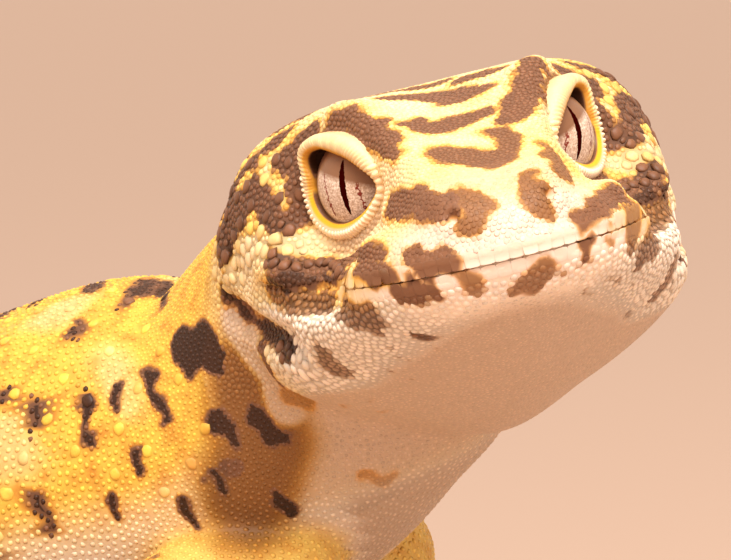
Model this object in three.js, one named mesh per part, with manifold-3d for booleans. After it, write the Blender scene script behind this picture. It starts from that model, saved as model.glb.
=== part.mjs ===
// Leopard gecko, adult, life size, standing alert with its head raised and turned to its right.
// Millimetres, +Z up. The trunk runs along +X, the animal's left is +Y and the floor is Z = 0.
import * as THREE from "three";
import { LoftGeometry } from "three/addons/geometries/LoftGeometry.js";
import { mergeVertices } from "three/addons/utils/BufferGeometryUtils.js";
import Module from "manifold-3d";

const wasm = await Module();
wasm.setup();

// ---- Driving dimensions ---------------------------------------------------------------------
const GAP = 0.3; // clear space where two sub-parts meet
const HEAD_AT = new THREE.Vector3(20.9, -13.8, 40); // the point midway between the eyes
const HEAD_HEADING = -55.7; // degrees, from the trunk's heading towards the animal's right
const HEAD_PITCH = 2.5; // degrees, nose up
const HEAD_ROLL = 13.3; // degrees, left side up
const EYE_RADIUS = 3.1;
const EYE_AT = { x: -1.35, y: 4.9, z: -0.2 }; // left eye's centre, in the head's own frame
const SOCKET = { x: 0.5, y: 7.4, z: -0.1, radius: 3.2 };
const LID_RADIUS = 0.6; // of the rolled rim round each eye's opening
const SNOUT_TIP = 14.0;
const SNOUT_ROUND = 10.5; // in front of this the snout rounds off to its tip
const SKULL_BACK = -17.5;
const SKULL_ROUND = -11.5; // behind this the back of the head rounds off
const DEG = Math.PI / 180;

// The head's cross-sections, from snout to nape, in its own frame: X forward, Y left, Z up.
// Each names the heights and half-widths of the crown, brow, orbit, cheek, jaw and throat.
const HEAD_SECTIONS = [
  { x: 14, top: -1.6, brow: [2.2, -2.0], orbit: [3.4, -3.2], cheek: [4.2, -4.8], jaw: [3.4, -6.6], low: -7.4 },
  { x: 11, top: -0.8, brow: [2.8, -1.0], orbit: [4.5, -2.6], cheek: [6.0, -4.7], jaw: [5.0, -7.1], low: -8.3 },
  { x: 8, top: 0.3, brow: [3.5, 0.2], orbit: [5.0, -1.7], cheek: [7.7, -4.4], jaw: [6.8, -7.9], low: -9.6 },
  { x: 4, top: 1.8, brow: [4.2, 2.2], orbit: [5.2, -0.4], cheek: [9.3, -4.2], jaw: [8.8, -8.7], low: -11.4 },
  { x: 0, top: 3.1, brow: [5.0, 3.9], orbit: [6.6, 0.8], cheek: [10.5, -3.8], jaw: [10.3, -9.3], low: -13.0 },
  { x: -4, top: 4.0, brow: [6.1, 4.3], orbit: [9.1, 1.4], cheek: [11.7, -3.3], jaw: [11.0, -10.6], low: -14.6 },
  { x: -8, top: 4.4, brow: [7.6, 4.1], orbit: [11.2, 1.7], cheek: [12.6, -3.2], jaw: [11.6, -10.9], low: -15.6 },
  { x: -12, top: 4.2, brow: [7.8, 3.7], orbit: [11.6, 1.3], cheek: [13.0, -3.4], jaw: [11.4, -10.7], low: -15.8 },
  { x: -17.5, top: 3.2, brow: [6.4, 2.6], orbit: [9.6, 0.4], cheek: [10.6, -3.8], jaw: [9.4, -9.9], low: -14.6 },
];
// The closed mouth's line seen from the side, from the snout to the corner, then down behind the jaw.
const MOUTH_LINE = [
  [16, -5.5],
  [10, -5.4],
  [4, -5.2],
  [-1, -4.9],
  [-5.2, -4.4],
  [-9, -6.6],
  [-12, -10],
  [-14, -16],
];
// The middle of the left eyelids' rolled rim, from the front corner over the eye and back under it.
const LID_RIM = [
  [3.1, 4.8, -0.4],
  [1.8, 5.8, 1.8],
  [-0.1, 6.9, 2.6],
  [-2.3, 8.1, 2.2],
  [-2.4, 8.2, -0.1],
  [-1.4, 7.5, -2.1],
  [-0.1, 6.9, -2.4],
  [1.0, 6.1, -2.1],
];
// The body's cross-sections from inside the head to the tail's tip: centre, half-width, height
// above the centre and depth below it. The first two follow the head.
const SPINE = [
  { head: [-8, -1.2, -4.6], w: 9.8, up: 6.6, down: 8.0 },
  { head: [-14, -2.3, -4.6], w: 12.0, up: 7.4, down: 9.0 },
  { at: [6.8, -0.6, 28.4], w: 10.5, up: 10.0, down: 10.4 },
  { at: [0.4, 0, 22.2], w: 10.8, up: 10.5, down: 10.6 },
  { at: [-8, 0, 19.5], w: 11.0, up: 12.0, down: 10.5 },
  { at: [-20, 0, 16.8], w: 12.2, up: 11.2, down: 10.4 },
  { at: [-34, 0, 15.2], w: 13.0, up: 10.9, down: 10.0 },
  { at: [-48, 0, 13.8], w: 12.0, up: 10.2, down: 8.8 },
  { at: [-60, 0, 12.8], w: 9.4, up: 8.4, down: 7.2 },
  { at: [-69, 0.4, 10.8], w: 6.4, up: 6.2, down: 5.6 },
  { at: [-77, 1.6, 7.9], w: 6.2, up: 5.6, down: 5.4 },
  { at: [-88, 4.6, 6.6], w: 7.6, up: 6.2, down: 6.7 },
  { at: [-102, 9.4, 6.2], w: 7.4, up: 6.0, down: 6.3 },
  { at: [-116, 14.4, 5.0], w: 6.0, up: 5.0, down: 5.1 },
  { at: [-130, 17.4, 3.5], w: 4.2, up: 3.5, down: 3.6 },
  { at: [-143, 17.0, 2.1], w: 2.5, up: 2.1, down: 2.2 },
  { at: [-155, 13.6, 0.9], w: 0.9, up: 0.8, down: 1.0 },
];
const NECK_ENDS = 0.2; // shares of the spine's run of sections, where its sub-parts part
const TRUNK_ENDS = 0.545;
const TAIL_BASE_ENDS = 0.7;
const TAIL_MIDDLE_ENDS = 0.84;

// Limbs: the left side's joints, from body to wrist or ankle, the radii along each length, and
// how far ahead of these joints each side's wrist or ankle has stepped.
const FORELEG = {
  joints: [
    [4.8, 5.8, 14.0],
    [-2.4, 16.4, 11.0],
    [4.4, 19.4, 2.6],
  ],
  upper: [4.2, 4.2, 3.6, 2.9],
  lower: [2.9, 3.1, 2.5, 1.8],
  stride: { left: -5, right: 0 },
};
const HINDLEG = {
  joints: [
    [-59, 6.0, 12.4],
    [-48.5, 21.0, 12.6],
    [-60.5, 26.0, 3.0],
  ],
  upper: [5.4, 5.6, 4.8, 3.6],
  lower: [3.6, 3.8, 2.9, 2.0],
  stride: { left: 3, right: -4 },
};
const LOWER_STARTS = 0.16; // share of its length at which a forearm or shank leaves the joint
// Hands and feet: the palm's half-sizes, then each toe's turn from the heading, and its length.
const HAND = { heading: 12, palm: [2.9, 2.6, 1.35], toes: [-74, -34, 0, 32, 66], lengths: [3.4, 4.4, 4.9, 4.6, 3.6] };
const FOOT = { heading: 34, palm: [3.8, 2.9, 1.5], toes: [-70, -30, -2, 26, 60], lengths: [3.8, 5.0, 5.8, 6.0, 4.4] };
const PALM_HEIGHT = 0.85; // of the palm's middle above the floor, as a share of its half-thickness
const TOES_LEAVE = 0.55; // how far out from the palm's middle, as a share of its half-length
const TOE_RADIUS = 0.85;
const CLAW_LENGTH = 1.3;

// ---- Helpers --------------------------------------------------------------------------------
const headFrame = new THREE.Matrix4()
  .makeRotationFromEuler(new THREE.Euler(HEAD_ROLL * DEG, -HEAD_PITCH * DEG, HEAD_HEADING * DEG, "ZYX"))
  .setPosition(HEAD_AT);

// A closed geometry as a manifold-3d solid, its zero-area triangles left out.
function solid(geometry) {
  const bare = new THREE.BufferGeometry().copy(geometry);
  bare.deleteAttribute("normal");
  bare.deleteAttribute("uv");
  const merged = mergeVertices(bare, 1e-4);
  const kept = [];
  const index = merged.index.array;
  for (let i = 0; i < index.length; i += 3) {
    const [a, b, c] = [index[i], index[i + 1], index[i + 2]];
    if (a !== b && b !== c && c !== a) kept.push(a, b, c);
  }
  const made = new wasm.Manifold(
    new wasm.Mesh({
      numProp: 3,
      vertProperties: merged.attributes.position.array,
      triVerts: new Uint32Array(kept),
    }),
  );
  if (made.volume() < 0) throw new Error("a solid is inside out");
  return made;
}

// A smooth curve through the values that `stations` give for `pick` at the places that `place` gives.
function profile(stations, place, pick) {
  const at = stations.map(place);
  const value = stations.map(pick);
  const last = at.length - 1;
  const slope = value.map((v, i) => {
    const [a, b] = [Math.max(i - 1, 0), Math.min(i + 1, last)];
    return (value[b] - value[a]) / (at[b] - at[a]);
  });
  const falling = at[last] < at[0];
  return (x) => {
    let i = 0;
    while (i < last - 1 && (falling ? x < at[i + 1] : x > at[i + 1])) i += 1;
    const span = at[i + 1] - at[i];
    const t = (x - at[i]) / span;
    const [t2, t3] = [t * t, t * t * t];
    return (
      (2 * t3 - 3 * t2 + 1) * value[i] +
      (t3 - 2 * t2 + t) * span * slope[i] +
      (3 * t2 - 2 * t3) * value[i + 1] +
      (t3 - t2) * span * slope[i + 1]
    );
  };
}

// ---- The head -------------------------------------------------------------------------------
const sectionX = (s) => s.x;
const headProfile = {
  top: profile(HEAD_SECTIONS, sectionX, (s) => s.top),
  low: profile(HEAD_SECTIONS, sectionX, (s) => s.low),
};
for (const key of ["brow", "orbit", "cheek", "jaw"]) {
  headProfile[key] = [0, 1].map((axis) => profile(HEAD_SECTIONS, sectionX, (s) => s[key][axis]));
}

// How much a head section shrinks as the snout or the nape rounds off.
function headRounding(x) {
  const ahead = Math.max(0, (x - SNOUT_ROUND) / (SNOUT_TIP - SNOUT_ROUND));
  const behind = Math.max(0, (SKULL_ROUND - x) / (SKULL_ROUND - SKULL_BACK));
  return Math.sqrt(Math.max(0, 1 - Math.max(ahead, behind) ** 2));
}

// The head's outline across at x, grown outwards by `grow`, as `count` points.
function headSection(x, count, grow) {
  const side = ["brow", "orbit", "cheek", "jaw"].map((key) => headProfile[key].map((f) => f(x)));
  const [top, low] = [headProfile.top(x), headProfile.low(x)];
  const middle = (top + low) / 2;
  const outline = [[0, top], ...side, [0, low], ...side.map(([y, z]) => [-y, z]).reverse()];
  const shrink = headRounding(x);
  const points = outline.map(([y, z]) => new THREE.Vector3(0, y * shrink, middle + (z - middle) * shrink));
  const curve = new THREE.CatmullRomCurve3(points, true, "catmullrom", 0.5);
  return Array.from({ length: count }, (_, i) => {
    const p = curve.getPoint(i / count);
    const reach = Math.hypot(p.y, p.z - middle) || 1;
    const out = 1 + grow / reach;
    return new THREE.Vector3(x, p.y * out, middle + (p.z - middle) * out);
  });
}

// The whole head before its eyes and jaw are parted from it, in its own frame.
function headSolid(grow) {
  const rows = 20;
  const columns = 26;
  const sections = Array.from({ length: rows }, (_, i) => {
    const turn = Math.PI * (0.03 + (0.94 * i) / (rows - 1));
    const x = (SNOUT_TIP + SKULL_BACK) / 2 + (Math.cos(turn) * (SNOUT_TIP - SKULL_BACK)) / 2;
    return headSection(x, columns, grow);
  });
  return solid(new LoftGeometry(sections, { capStart: true, capEnd: true }));
}

function eyeSphere(side, radius) {
  const sphere = new THREE.SphereGeometry(radius, 14, 9);
  return solid(sphere.translate(EYE_AT.x, side * EYE_AT.y, EYE_AT.z));
}

// The hollow that the eyelids' rim stands round.
function eyeSocket(side) {
  const sphere = new THREE.SphereGeometry(SOCKET.radius, 11, 7);
  return solid(sphere.translate(SOCKET.x, side * SOCKET.y, SOCKET.z));
}

// The eyelids' rim, a closed roll round the eye's opening.
function lidRim(side) {
  const points = LID_RIM.map(([x, y, z]) => new THREE.Vector3(x, side * y, z));
  const curve = new THREE.CatmullRomCurve3(points, true, "centripetal");
  return solid(new THREE.TubeGeometry(curve, 18, LID_RADIUS, 5, true));
}

// Everything below and in front of the mouth's line, shifted up and back by `shift`.
function jawRegion(shift) {
  const line = new THREE.SplineCurve(MOUTH_LINE.map(([x, z]) => new THREE.Vector2(x - shift, z + shift)));
  const outline = [...line.getPoints(18), new THREE.Vector2(20, -22), new THREE.Vector2(20, MOUTH_LINE[0][1] + shift)];
  const depth = 40;
  const block = new THREE.ExtrudeGeometry(new THREE.Shape(outline), { depth, bevelEnabled: false });
  return solid(block.rotateX(Math.PI / 2).translate(0, depth / 2, 0));
}

function headParts() {
  let whole = headSolid(0);
  for (const side of [1, -1]) {
    whole = whole.subtract(eyeSocket(side)).add(lidRim(side));
    whole = whole.subtract(eyeSphere(side, EYE_RADIUS + GAP));
  }
  return {
    head: whole.subtract(jawRegion(GAP)),
    lower_jaw: whole.intersect(jawRegion(0)),
    eye_left: eyeSphere(1, EYE_RADIUS),
    eye_right: eyeSphere(-1, EYE_RADIUS),
  };
}

// ---- Neck, trunk and tail -------------------------------------------------------------------
const spineCentres = SPINE.map((s) =>
  s.at ? new THREE.Vector3(...s.at) : new THREE.Vector3(...s.head).applyMatrix4(headFrame),
);
const spineCurve = new THREE.CatmullRomCurve3(spineCentres, false, "catmullrom", 0.5);
const order = (s) => SPINE.indexOf(s) / (SPINE.length - 1);
const spineProfile = {
  w: profile(SPINE, order, (s) => s.w),
  up: profile(SPINE, order, (s) => s.up),
  down: profile(SPINE, order, (s) => s.down),
};

function spineSection(t, count, grow) {
  const centre = spineCurve.getPoint(t);
  const ahead = spineCurve.getTangent(t).negate();
  const left = new THREE.Vector3(0, 0, 1).cross(ahead).normalize();
  const up = ahead.clone().cross(left);
  return Array.from({ length: count }, (_, i) => {
    const turn = (2 * Math.PI * i) / count;
    const rise = Math.cos(turn);
    const height = (rise > 0 ? spineProfile.up(t) : spineProfile.down(t)) + grow;
    return centre
      .clone()
      .addScaledVector(left, Math.sin(turn) * (spineProfile.w(t) + grow))
      .addScaledVector(up, rise * height);
  });
}

function spineSolid(from, to, rows, columns, grow = 0) {
  const sections = Array.from({ length: rows }, (_, i) =>
    spineSection(from + ((to - from) * i) / (rows - 1), columns, grow),
  );
  return solid(new LoftGeometry(sections, { capStart: true, capEnd: true }));
}

// ---- Limbs ----------------------------------------------------------------------------------
// A limb's joints on one side; the middle joint follows half of the step that the last one takes.
function limbJoints(limb, side, word) {
  const step = limb.stride[word];
  return limb.joints.map(([x, y, z], i) => new THREE.Vector3(x + (step * i) / 2, side * y, z));
}

// One length of a limb, from joint to joint, with round ends and its radii spread along it.
function limbSolid(from, to, radii, grow) {
  const ahead = to.clone().sub(from).normalize();
  const across = new THREE.Vector3(0, 0, 1).cross(ahead).normalize();
  const above = ahead.clone().cross(across);
  const start = -radii[0] - grow;
  const end = from.distanceTo(to) + radii.at(-1) + grow;
  const radius = profile(
    radii.map((r, i) => [i / (radii.length - 1), r]),
    (s) => s[0],
    (s) => s[1],
  );
  const rows = 8;
  const columns = 10;
  const sections = Array.from({ length: rows }, (_, i) => {
    const turn = Math.PI * (0.04 + (0.92 * i) / (rows - 1));
    const along = (start + end) / 2 - (Math.cos(turn) * (end - start)) / 2;
    const share = THREE.MathUtils.clamp(along / from.distanceTo(to), 0, 1);
    const beyond = Math.max(-along / -start, (along - from.distanceTo(to)) / (radii.at(-1) + grow), 0);
    const reach = (radius(share) + grow) * Math.sqrt(1 - beyond ** 2);
    return Array.from({ length: columns }, (_, j) => {
      const angle = (2 * Math.PI * j) / columns;
      return from
        .clone()
        .addScaledVector(ahead, along)
        .addScaledVector(across, Math.cos(angle) * reach)
        .addScaledVector(above, Math.sin(angle) * reach);
    });
  });
  return solid(new LoftGeometry(sections, { capStart: true, capEnd: true }));
}

// One toe with its claw: a tapering tube that arches off the palm and comes down at its tip.
function toeSolid(root, heading, length) {
  const along = new THREE.Vector3(Math.cos(heading), Math.sin(heading), 0);
  const whole = length + CLAW_LENGTH;
  const heights = [1.0, 1.15, 0.85, 0.75, 0.3];
  const shares = [0, 0.35, 0.62, length / whole, 1];
  const radii = [1.05, 1, 0.95, 0.62, 0.18];
  const points = shares.map((s, i) =>
    root.clone().addScaledVector(along, whole * s).setZ(heights[i] * TOE_RADIUS),
  );
  const curve = new THREE.CatmullRomCurve3(points, false, "catmullrom", 0.5);
  const columns = 6;
  const across = new THREE.Vector3(-along.y, along.x, 0);
  const sections = [0, 0.3, 0.6, 0.84, 1].map((t) => {
    const place = t * (points.length - 1);
    const i = Math.min(Math.floor(place), points.length - 2);
    const radius = TOE_RADIUS * (radii[i] + (radii[i + 1] - radii[i]) * (place - i));
    return Array.from({ length: columns }, (_, j) => {
      const turn = (2 * Math.PI * j) / columns;
      return curve
        .getPoint(t)
        .addScaledVector(across, Math.cos(turn) * radius)
        .add(new THREE.Vector3(0, 0, Math.sin(turn) * radius));
    });
  });
  return solid(new LoftGeometry(sections, { capStart: true, capEnd: true }));
}

// A hand or foot: a flattened palm with five spread toes.
function pawSolid(paw, wrist, side) {
  const heading = side * paw.heading * DEG;
  const centre = wrist.clone().setZ(paw.palm[2] * PALM_HEIGHT);
  centre.x += Math.cos(heading) * paw.palm[0] * TOES_LEAVE;
  centre.y += Math.sin(heading) * paw.palm[0] * TOES_LEAVE;
  const palm = new THREE.SphereGeometry(1, 9, 6).scale(...paw.palm).rotateZ(heading);
  let whole = solid(palm.translate(centre.x, centre.y, centre.z));
  paw.toes.forEach((spread, i) => {
    const turn = heading + side * spread * DEG;
    const root = centre.clone();
    root.x += Math.cos(turn) * paw.palm[0] * TOES_LEAVE;
    root.y += Math.sin(turn) * paw.palm[0] * TOES_LEAVE;
    whole = whole.add(toeSolid(root, turn, paw.lengths[i]));
  });
  return whole;
}

function limbParts(names, limb, paw, side, word, body) {
  const [root, middle, end] = limbJoints(limb, side, word);
  const begin = middle.clone().lerp(end, LOWER_STARTS);
  const upper = limbSolid(root, middle, limb.upper, 0);
  const lower = limbSolid(begin, end, limb.lower, 0).subtract(limbSolid(root, middle, limb.upper, GAP));
  const last = pawSolid(paw, end, side).subtract(limbSolid(middle, end, limb.lower, GAP));
  return {
    [`${names[0]}_${word}`]: upper.subtract(body),
    [`${names[1]}_${word}`]: lower.subtract(body),
    [`${names[2]}_${word}`]: last,
  };
}

// ---- Assembly -------------------------------------------------------------------------------
function material(color, roughness) {
  return new THREE.MeshStandardMaterial({ color, roughness, metalness: 0 });
}
const skinMaterial = material(0xe8c56a, 0.6);
const bellyMaterial = material(0xeed2b4, 0.6);
const eyeMaterial = material(0x8c6f60, 0.15);

// Nothing reaches under the floor, which leaves small flats under the toes, palms and tail.
const FLOOR_SIZE = 400;
const FLOOR_DEPTH = 20;
const underFloor = solid(new THREE.BoxGeometry(FLOOR_SIZE, FLOOR_SIZE, FLOOR_DEPTH).translate(0, 0, -FLOOR_DEPTH / 2));

function asMesh(name, made, look) {
  const { numProp, vertProperties, triVerts } = made.getMesh();
  const positions = new Float32Array((vertProperties.length / numProp) * 3);
  for (let i = 0; i < positions.length / 3; i += 1) {
    positions.set(vertProperties.subarray(i * numProp, i * numProp + 3), i * 3);
  }
  const geometry = new THREE.BufferGeometry();
  geometry.setAttribute("position", new THREE.BufferAttribute(positions, 3));
  geometry.setIndex(new THREE.BufferAttribute(triVerts, 1));
  geometry.computeVertexNormals();
  const mesh = new THREE.Mesh(geometry, look);
  mesh.name = name;
  return mesh;
}

const gecko = new THREE.Group();
const headGroup = new THREE.Group();
headGroup.applyMatrix4(headFrame);
gecko.add(headGroup);
for (const [name, made] of Object.entries(headParts())) {
  headGroup.add(asMesh(name, made, name.startsWith("eye") ? eyeMaterial : skinMaterial));
}

const SPINE_RUN = 190; // length along the middle line, from inside the head to the tail's tip
const step = GAP / 2 / SPINE_RUN; // half a gap, as a share of that run
const grownHead = headSolid(GAP).transform(headFrame.elements);
const bodyRoom = spineSolid(0, TAIL_BASE_ENDS, 26, 20, GAP);
const spineParts = {
  neck: spineSolid(0, NECK_ENDS - step, 9, 20).subtract(grownHead),
  trunk: spineSolid(NECK_ENDS + step, TRUNK_ENDS - step, 15, 20),
  tail_base: spineSolid(TRUNK_ENDS + step, TAIL_BASE_ENDS - step, 8, 18),
  tail_middle: spineSolid(TAIL_BASE_ENDS + step, TAIL_MIDDLE_ENDS - step, 8, 16),
  tail_tip: spineSolid(TAIL_MIDDLE_ENDS + step, 1, 9, 12),
};
for (const [name, made] of Object.entries(spineParts)) {
  gecko.add(asMesh(name, made.subtract(underFloor), name === "trunk" ? bellyMaterial : skinMaterial));
}
for (const [side, word] of [
  [1, "left"],
  [-1, "right"],
]) {
  const parts = {
    ...limbParts(["upper_arm", "forearm", "hand"], FORELEG, HAND, side, word, bodyRoom),
    ...limbParts(["thigh", "shank", "foot"], HINDLEG, FOOT, side, word, bodyRoom),
  };
  for (const [name, made] of Object.entries(parts)) {
    gecko.add(asMesh(name, made.subtract(underFloor), skinMaterial));
  }
}

// The origin is at the middle of the box that holds the animal, on the floor.
gecko.updateMatrixWorld(true);
const box = new THREE.Box3().setFromObject(gecko, true);
gecko.position.set(-(box.min.x + box.max.x) / 2, -(box.min.y + box.max.y) / 2, 0);

export default gecko;
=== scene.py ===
# %% [markdown]
# # A leopard gecko, life size, standing with its head raised
#
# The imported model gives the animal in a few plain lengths: head, jaw, neck, trunk, tail and limbs. Here one
# continuous skin replaces those lengths, then scales are laid over it, and the eyes and claws are added.
# Everything is worked out in millimetres and scaled to metres when a mesh is made.

# %% Load the frame
import math

import bpy
import numpy as np
from mathutils import Matrix, Vector
from mathutils.bvhtree import BVHTree
from mathutils.kdtree import KDTree


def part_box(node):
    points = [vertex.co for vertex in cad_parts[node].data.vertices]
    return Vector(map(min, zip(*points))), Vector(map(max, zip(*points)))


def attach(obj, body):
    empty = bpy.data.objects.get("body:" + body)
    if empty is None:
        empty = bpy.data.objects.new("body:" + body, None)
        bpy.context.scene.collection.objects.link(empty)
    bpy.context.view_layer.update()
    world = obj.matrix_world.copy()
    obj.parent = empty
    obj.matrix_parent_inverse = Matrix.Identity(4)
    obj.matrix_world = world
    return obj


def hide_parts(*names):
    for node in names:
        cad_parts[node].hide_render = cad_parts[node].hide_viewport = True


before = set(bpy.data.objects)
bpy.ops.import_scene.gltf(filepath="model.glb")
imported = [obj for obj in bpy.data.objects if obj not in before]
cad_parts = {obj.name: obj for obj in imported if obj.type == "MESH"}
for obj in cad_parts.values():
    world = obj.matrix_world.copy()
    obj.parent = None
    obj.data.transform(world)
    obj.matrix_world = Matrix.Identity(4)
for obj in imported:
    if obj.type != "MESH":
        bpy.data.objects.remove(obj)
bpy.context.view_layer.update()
MM = 0.001


# %% Small helpers
def in_scene(name, data):
    """A new object in the scene that shows the data."""
    made = bpy.data.objects.new(name, data)
    bpy.context.collection.objects.link(made)
    return made


def evaluated_mesh(of):
    """The mesh that an object's modifiers make; the object itself is removed."""
    mesh = bpy.data.meshes.new_from_object(of.evaluated_get(bpy.context.evaluated_depsgraph_get()))
    bpy.data.objects.remove(of)
    return mesh


def mesh_array(items, key, width, kind=np.float32):
    """One property of a mesh's vertices, edges, faces or corners, as rows of the given width."""
    values = np.empty(len(items) * width, dtype=kind)
    items.foreach_get(key, values)
    return values.reshape(-1, width).astype(float if kind is np.float32 else int)


def mesh_points(mesh):
    return mesh_array(mesh.vertices, "co", 3)


def mesh_triangles(mesh):
    return mesh_array(mesh.loop_triangles, "vertices", 3, np.int32)


def unit(vectors):
    return vectors / np.linalg.norm(vectors, axis=-1)[..., None]


def even_turns(count):
    """Angles in even steps round a full turn, in radians."""
    return np.linspace(0, 2 * math.pi, count, endpoint=False)


print("helpers ready")

# %% [markdown]
# ## The head's own frame
#
# The head is turned to the animal's right and rolled a little, so its forms are described in a frame of its own:
# X forward, Y left, Z up, from the point midway between the eyes. Its place comes from the boxes of the two eyes.

# %% Head frame
HEAD_HEADING = -55.7  # degrees from the trunk's heading, towards the right
HEAD_PITCH = 2.5  # nose up
HEAD_ROLL = 13.3  # left side up
EYE_AT = np.array([-1.35, 4.9, -0.2])  # left eyeball's centre in the head's frame
HEAD_HALF, HEAD_LOW = 16, -20  # what is further out or lower belongs to a limb, not to the head


def turn(axis, degrees):
    """A rotation about one of the axes as a 3 by 3 array."""
    return np.array(Matrix.Rotation(math.radians(degrees), 3, axis))


def box_centre(node):
    low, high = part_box(node)
    return (np.array(low) + np.array(high)) / 2 / MM


HEAD_TURN = turn("Z", HEAD_HEADING) @ turn("Y", -HEAD_PITCH) @ turn("X", HEAD_ROLL)
EYES_MIDDLE = (box_centre("eye_left") + box_centre("eye_right")) / 2
HEAD_AT = EYES_MIDDLE - HEAD_TURN @ (EYE_AT * [1, 0, 1])
DESIGN_SHIFT = HEAD_AT - np.array([20.9, -13.8, 40.0])  # the trunk's plan is drawn from the shoulders


def from_head(points):
    """Points of the head's frame, in the row's frame."""
    return np.asarray(points) @ HEAD_TURN.T + HEAD_AT


def to_head(points):
    """Points of the row's frame, in the head's frame."""
    return (np.asarray(points) - HEAD_AT) @ HEAD_TURN


print("head at", HEAD_AT.round(2), "shift", DESIGN_SHIFT.round(3))

# %% [markdown]
# ## Camera
#
# A long lens close in front of the snout, level with the head, looks along the animal's right side. The head fills
# the frame and the trunk runs out of it to the left.

# %% Camera
CAMERA_AZIMUTH = math.radians(28.0)
CAMERA_RISE = math.radians(4.0)
CAMERA_DISTANCE = 230.0
LENS = 202.1
FRAME_OFFSET = (-5.20, -6.84)  # the frame's middle from the head's origin, to the right and up

camera_right = np.array([math.cos(CAMERA_AZIMUTH), math.sin(CAMERA_AZIMUTH), 0])
level = math.cos(CAMERA_RISE)
camera_back = np.array(
    [math.sin(CAMERA_AZIMUTH) * level, -math.cos(CAMERA_AZIMUTH) * level, math.sin(CAMERA_RISE)]
)
camera_up = np.cross(camera_back, camera_right)
framed = HEAD_AT + FRAME_OFFSET[0] * camera_right + FRAME_OFFSET[1] * camera_up
camera_at = framed + CAMERA_DISTANCE * camera_back

camera_data = bpy.data.cameras.new("camera")
camera_data.lens = LENS
camera_data.sensor_width = 36
camera_data.clip_start = 0.01
camera = in_scene("camera", camera_data)
axes = Matrix(np.stack([camera_right, camera_up, camera_back], axis=1).tolist()).to_4x4()
camera.matrix_world = Matrix.Translation(Vector(camera_at * MM)) @ axes
bpy.context.scene.camera = camera
print("camera at", camera_at.round(1))

# %% [markdown]
# ## Helpers for lofted forms
#
# The head, the body and every limb are lofts: a list of rings of points, closed at both ends. A ring's shape comes
# from a few stations along the form, joined by smooth curves.


# %% Loft helpers
def smooth_curve(at, value, x):
    """A smooth curve through the values at increasing places, read at each x."""
    at, value, x = (np.asarray(a, dtype=float) for a in (at, value, x))
    ends = np.arange(len(at))
    before, after = np.maximum(ends - 1, 0), np.minimum(ends + 1, len(at) - 1)
    slope = (value[after] - value[before]) / (at[after] - at[before])
    i = np.clip(np.searchsorted(at, x, side="right") - 1, 0, len(at) - 2)
    span = at[i + 1] - at[i]
    t = (x - at[i]) / span
    return (
        (2 * t**3 - 3 * t**2 + 1) * value[i]
        + (t**3 - 2 * t**2 + t) * span * slope[i]
        + (3 * t**2 - 2 * t**3) * value[i + 1]
        + (t**3 - t**2) * span * slope[i + 1]
    )


def ring_curve(points, count):
    """A closed smooth curve through points (..., n, k), as count points starting at the first."""
    n = points.shape[-2]
    place = np.arange(count) * n / count
    i = place.astype(int)
    t = (place - i)[:, None]
    p0, p1, p2, p3 = (points[..., (i + k) % n, :] for k in (-1, 0, 1, 2))
    return 0.5 * (
        2 * p1 + (p2 - p0) * t + (2 * p0 - 5 * p1 + 4 * p2 - p3) * t**2 + (3 * p1 - p0 - 3 * p2 + p3) * t**3
    )


def path_curve(points, t):
    """An open smooth curve through points (n, k) at shares t of its run, and its tangent there."""
    points = np.asarray(points, dtype=float)
    padded = np.vstack([2 * points[0] - points[1], points, 2 * points[-1] - points[-2]])
    place = np.asarray(t) * (len(points) - 1)
    i = np.clip(place.astype(int), 0, len(points) - 2)
    u = (place - i)[:, None]
    p0, p1, p2, p3 = (padded[i + k] for k in range(4))
    slope, second, third = p2 - p0, 2 * p0 - 5 * p1 + 4 * p2 - p3, 3 * p1 - p0 - 3 * p2 + p3
    at = 0.5 * (2 * p1 + slope * u + second * u**2 + third * u**3)
    along = 0.5 * (slope + 2 * second * u + 3 * third * u**2)
    return at, unit(along)


def loft_faces(rows, columns, closed):
    """Quads that join rings of points; the two ends get caps unless the loft closes on itself."""
    faces = []
    for i in range(rows if closed else rows - 1):
        a, b = i * columns, ((i + 1) % rows) * columns
        for j in range(columns):
            k = (j + 1) % columns
            faces.append((a + j, a + k, b + k, b + j))
    if not closed:
        faces.append(tuple(range(columns - 1, -1, -1)))
        faces.append(tuple((rows - 1) * columns + j for j in range(columns)))
    return faces


class Shapes:
    """Closed shapes gathered as one list of vertices and faces, in millimetres."""

    def __init__(self):
        self.points = []
        self.faces = []
        self.count = 0

    def add(self, rings, closed=False):
        """Takes one loft in, and turns its faces outward."""
        rings = np.asarray(rings)
        faces = loft_faces(*rings.shape[:2], closed)
        flat = rings.reshape(-1, 3)
        middle = flat.mean(axis=0)
        volume = 0.0
        for face in faces:
            p = flat[list(face)] - middle
            for k in range(1, len(face) - 1):
                volume += np.dot(p[0], np.cross(p[k], p[k + 1]))
        if volume < 0:
            faces = [face[::-1] for face in faces]
        self.points.append(flat)
        self.faces += [tuple(v + self.count for v in face) for face in faces]
        self.count += len(flat)


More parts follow.
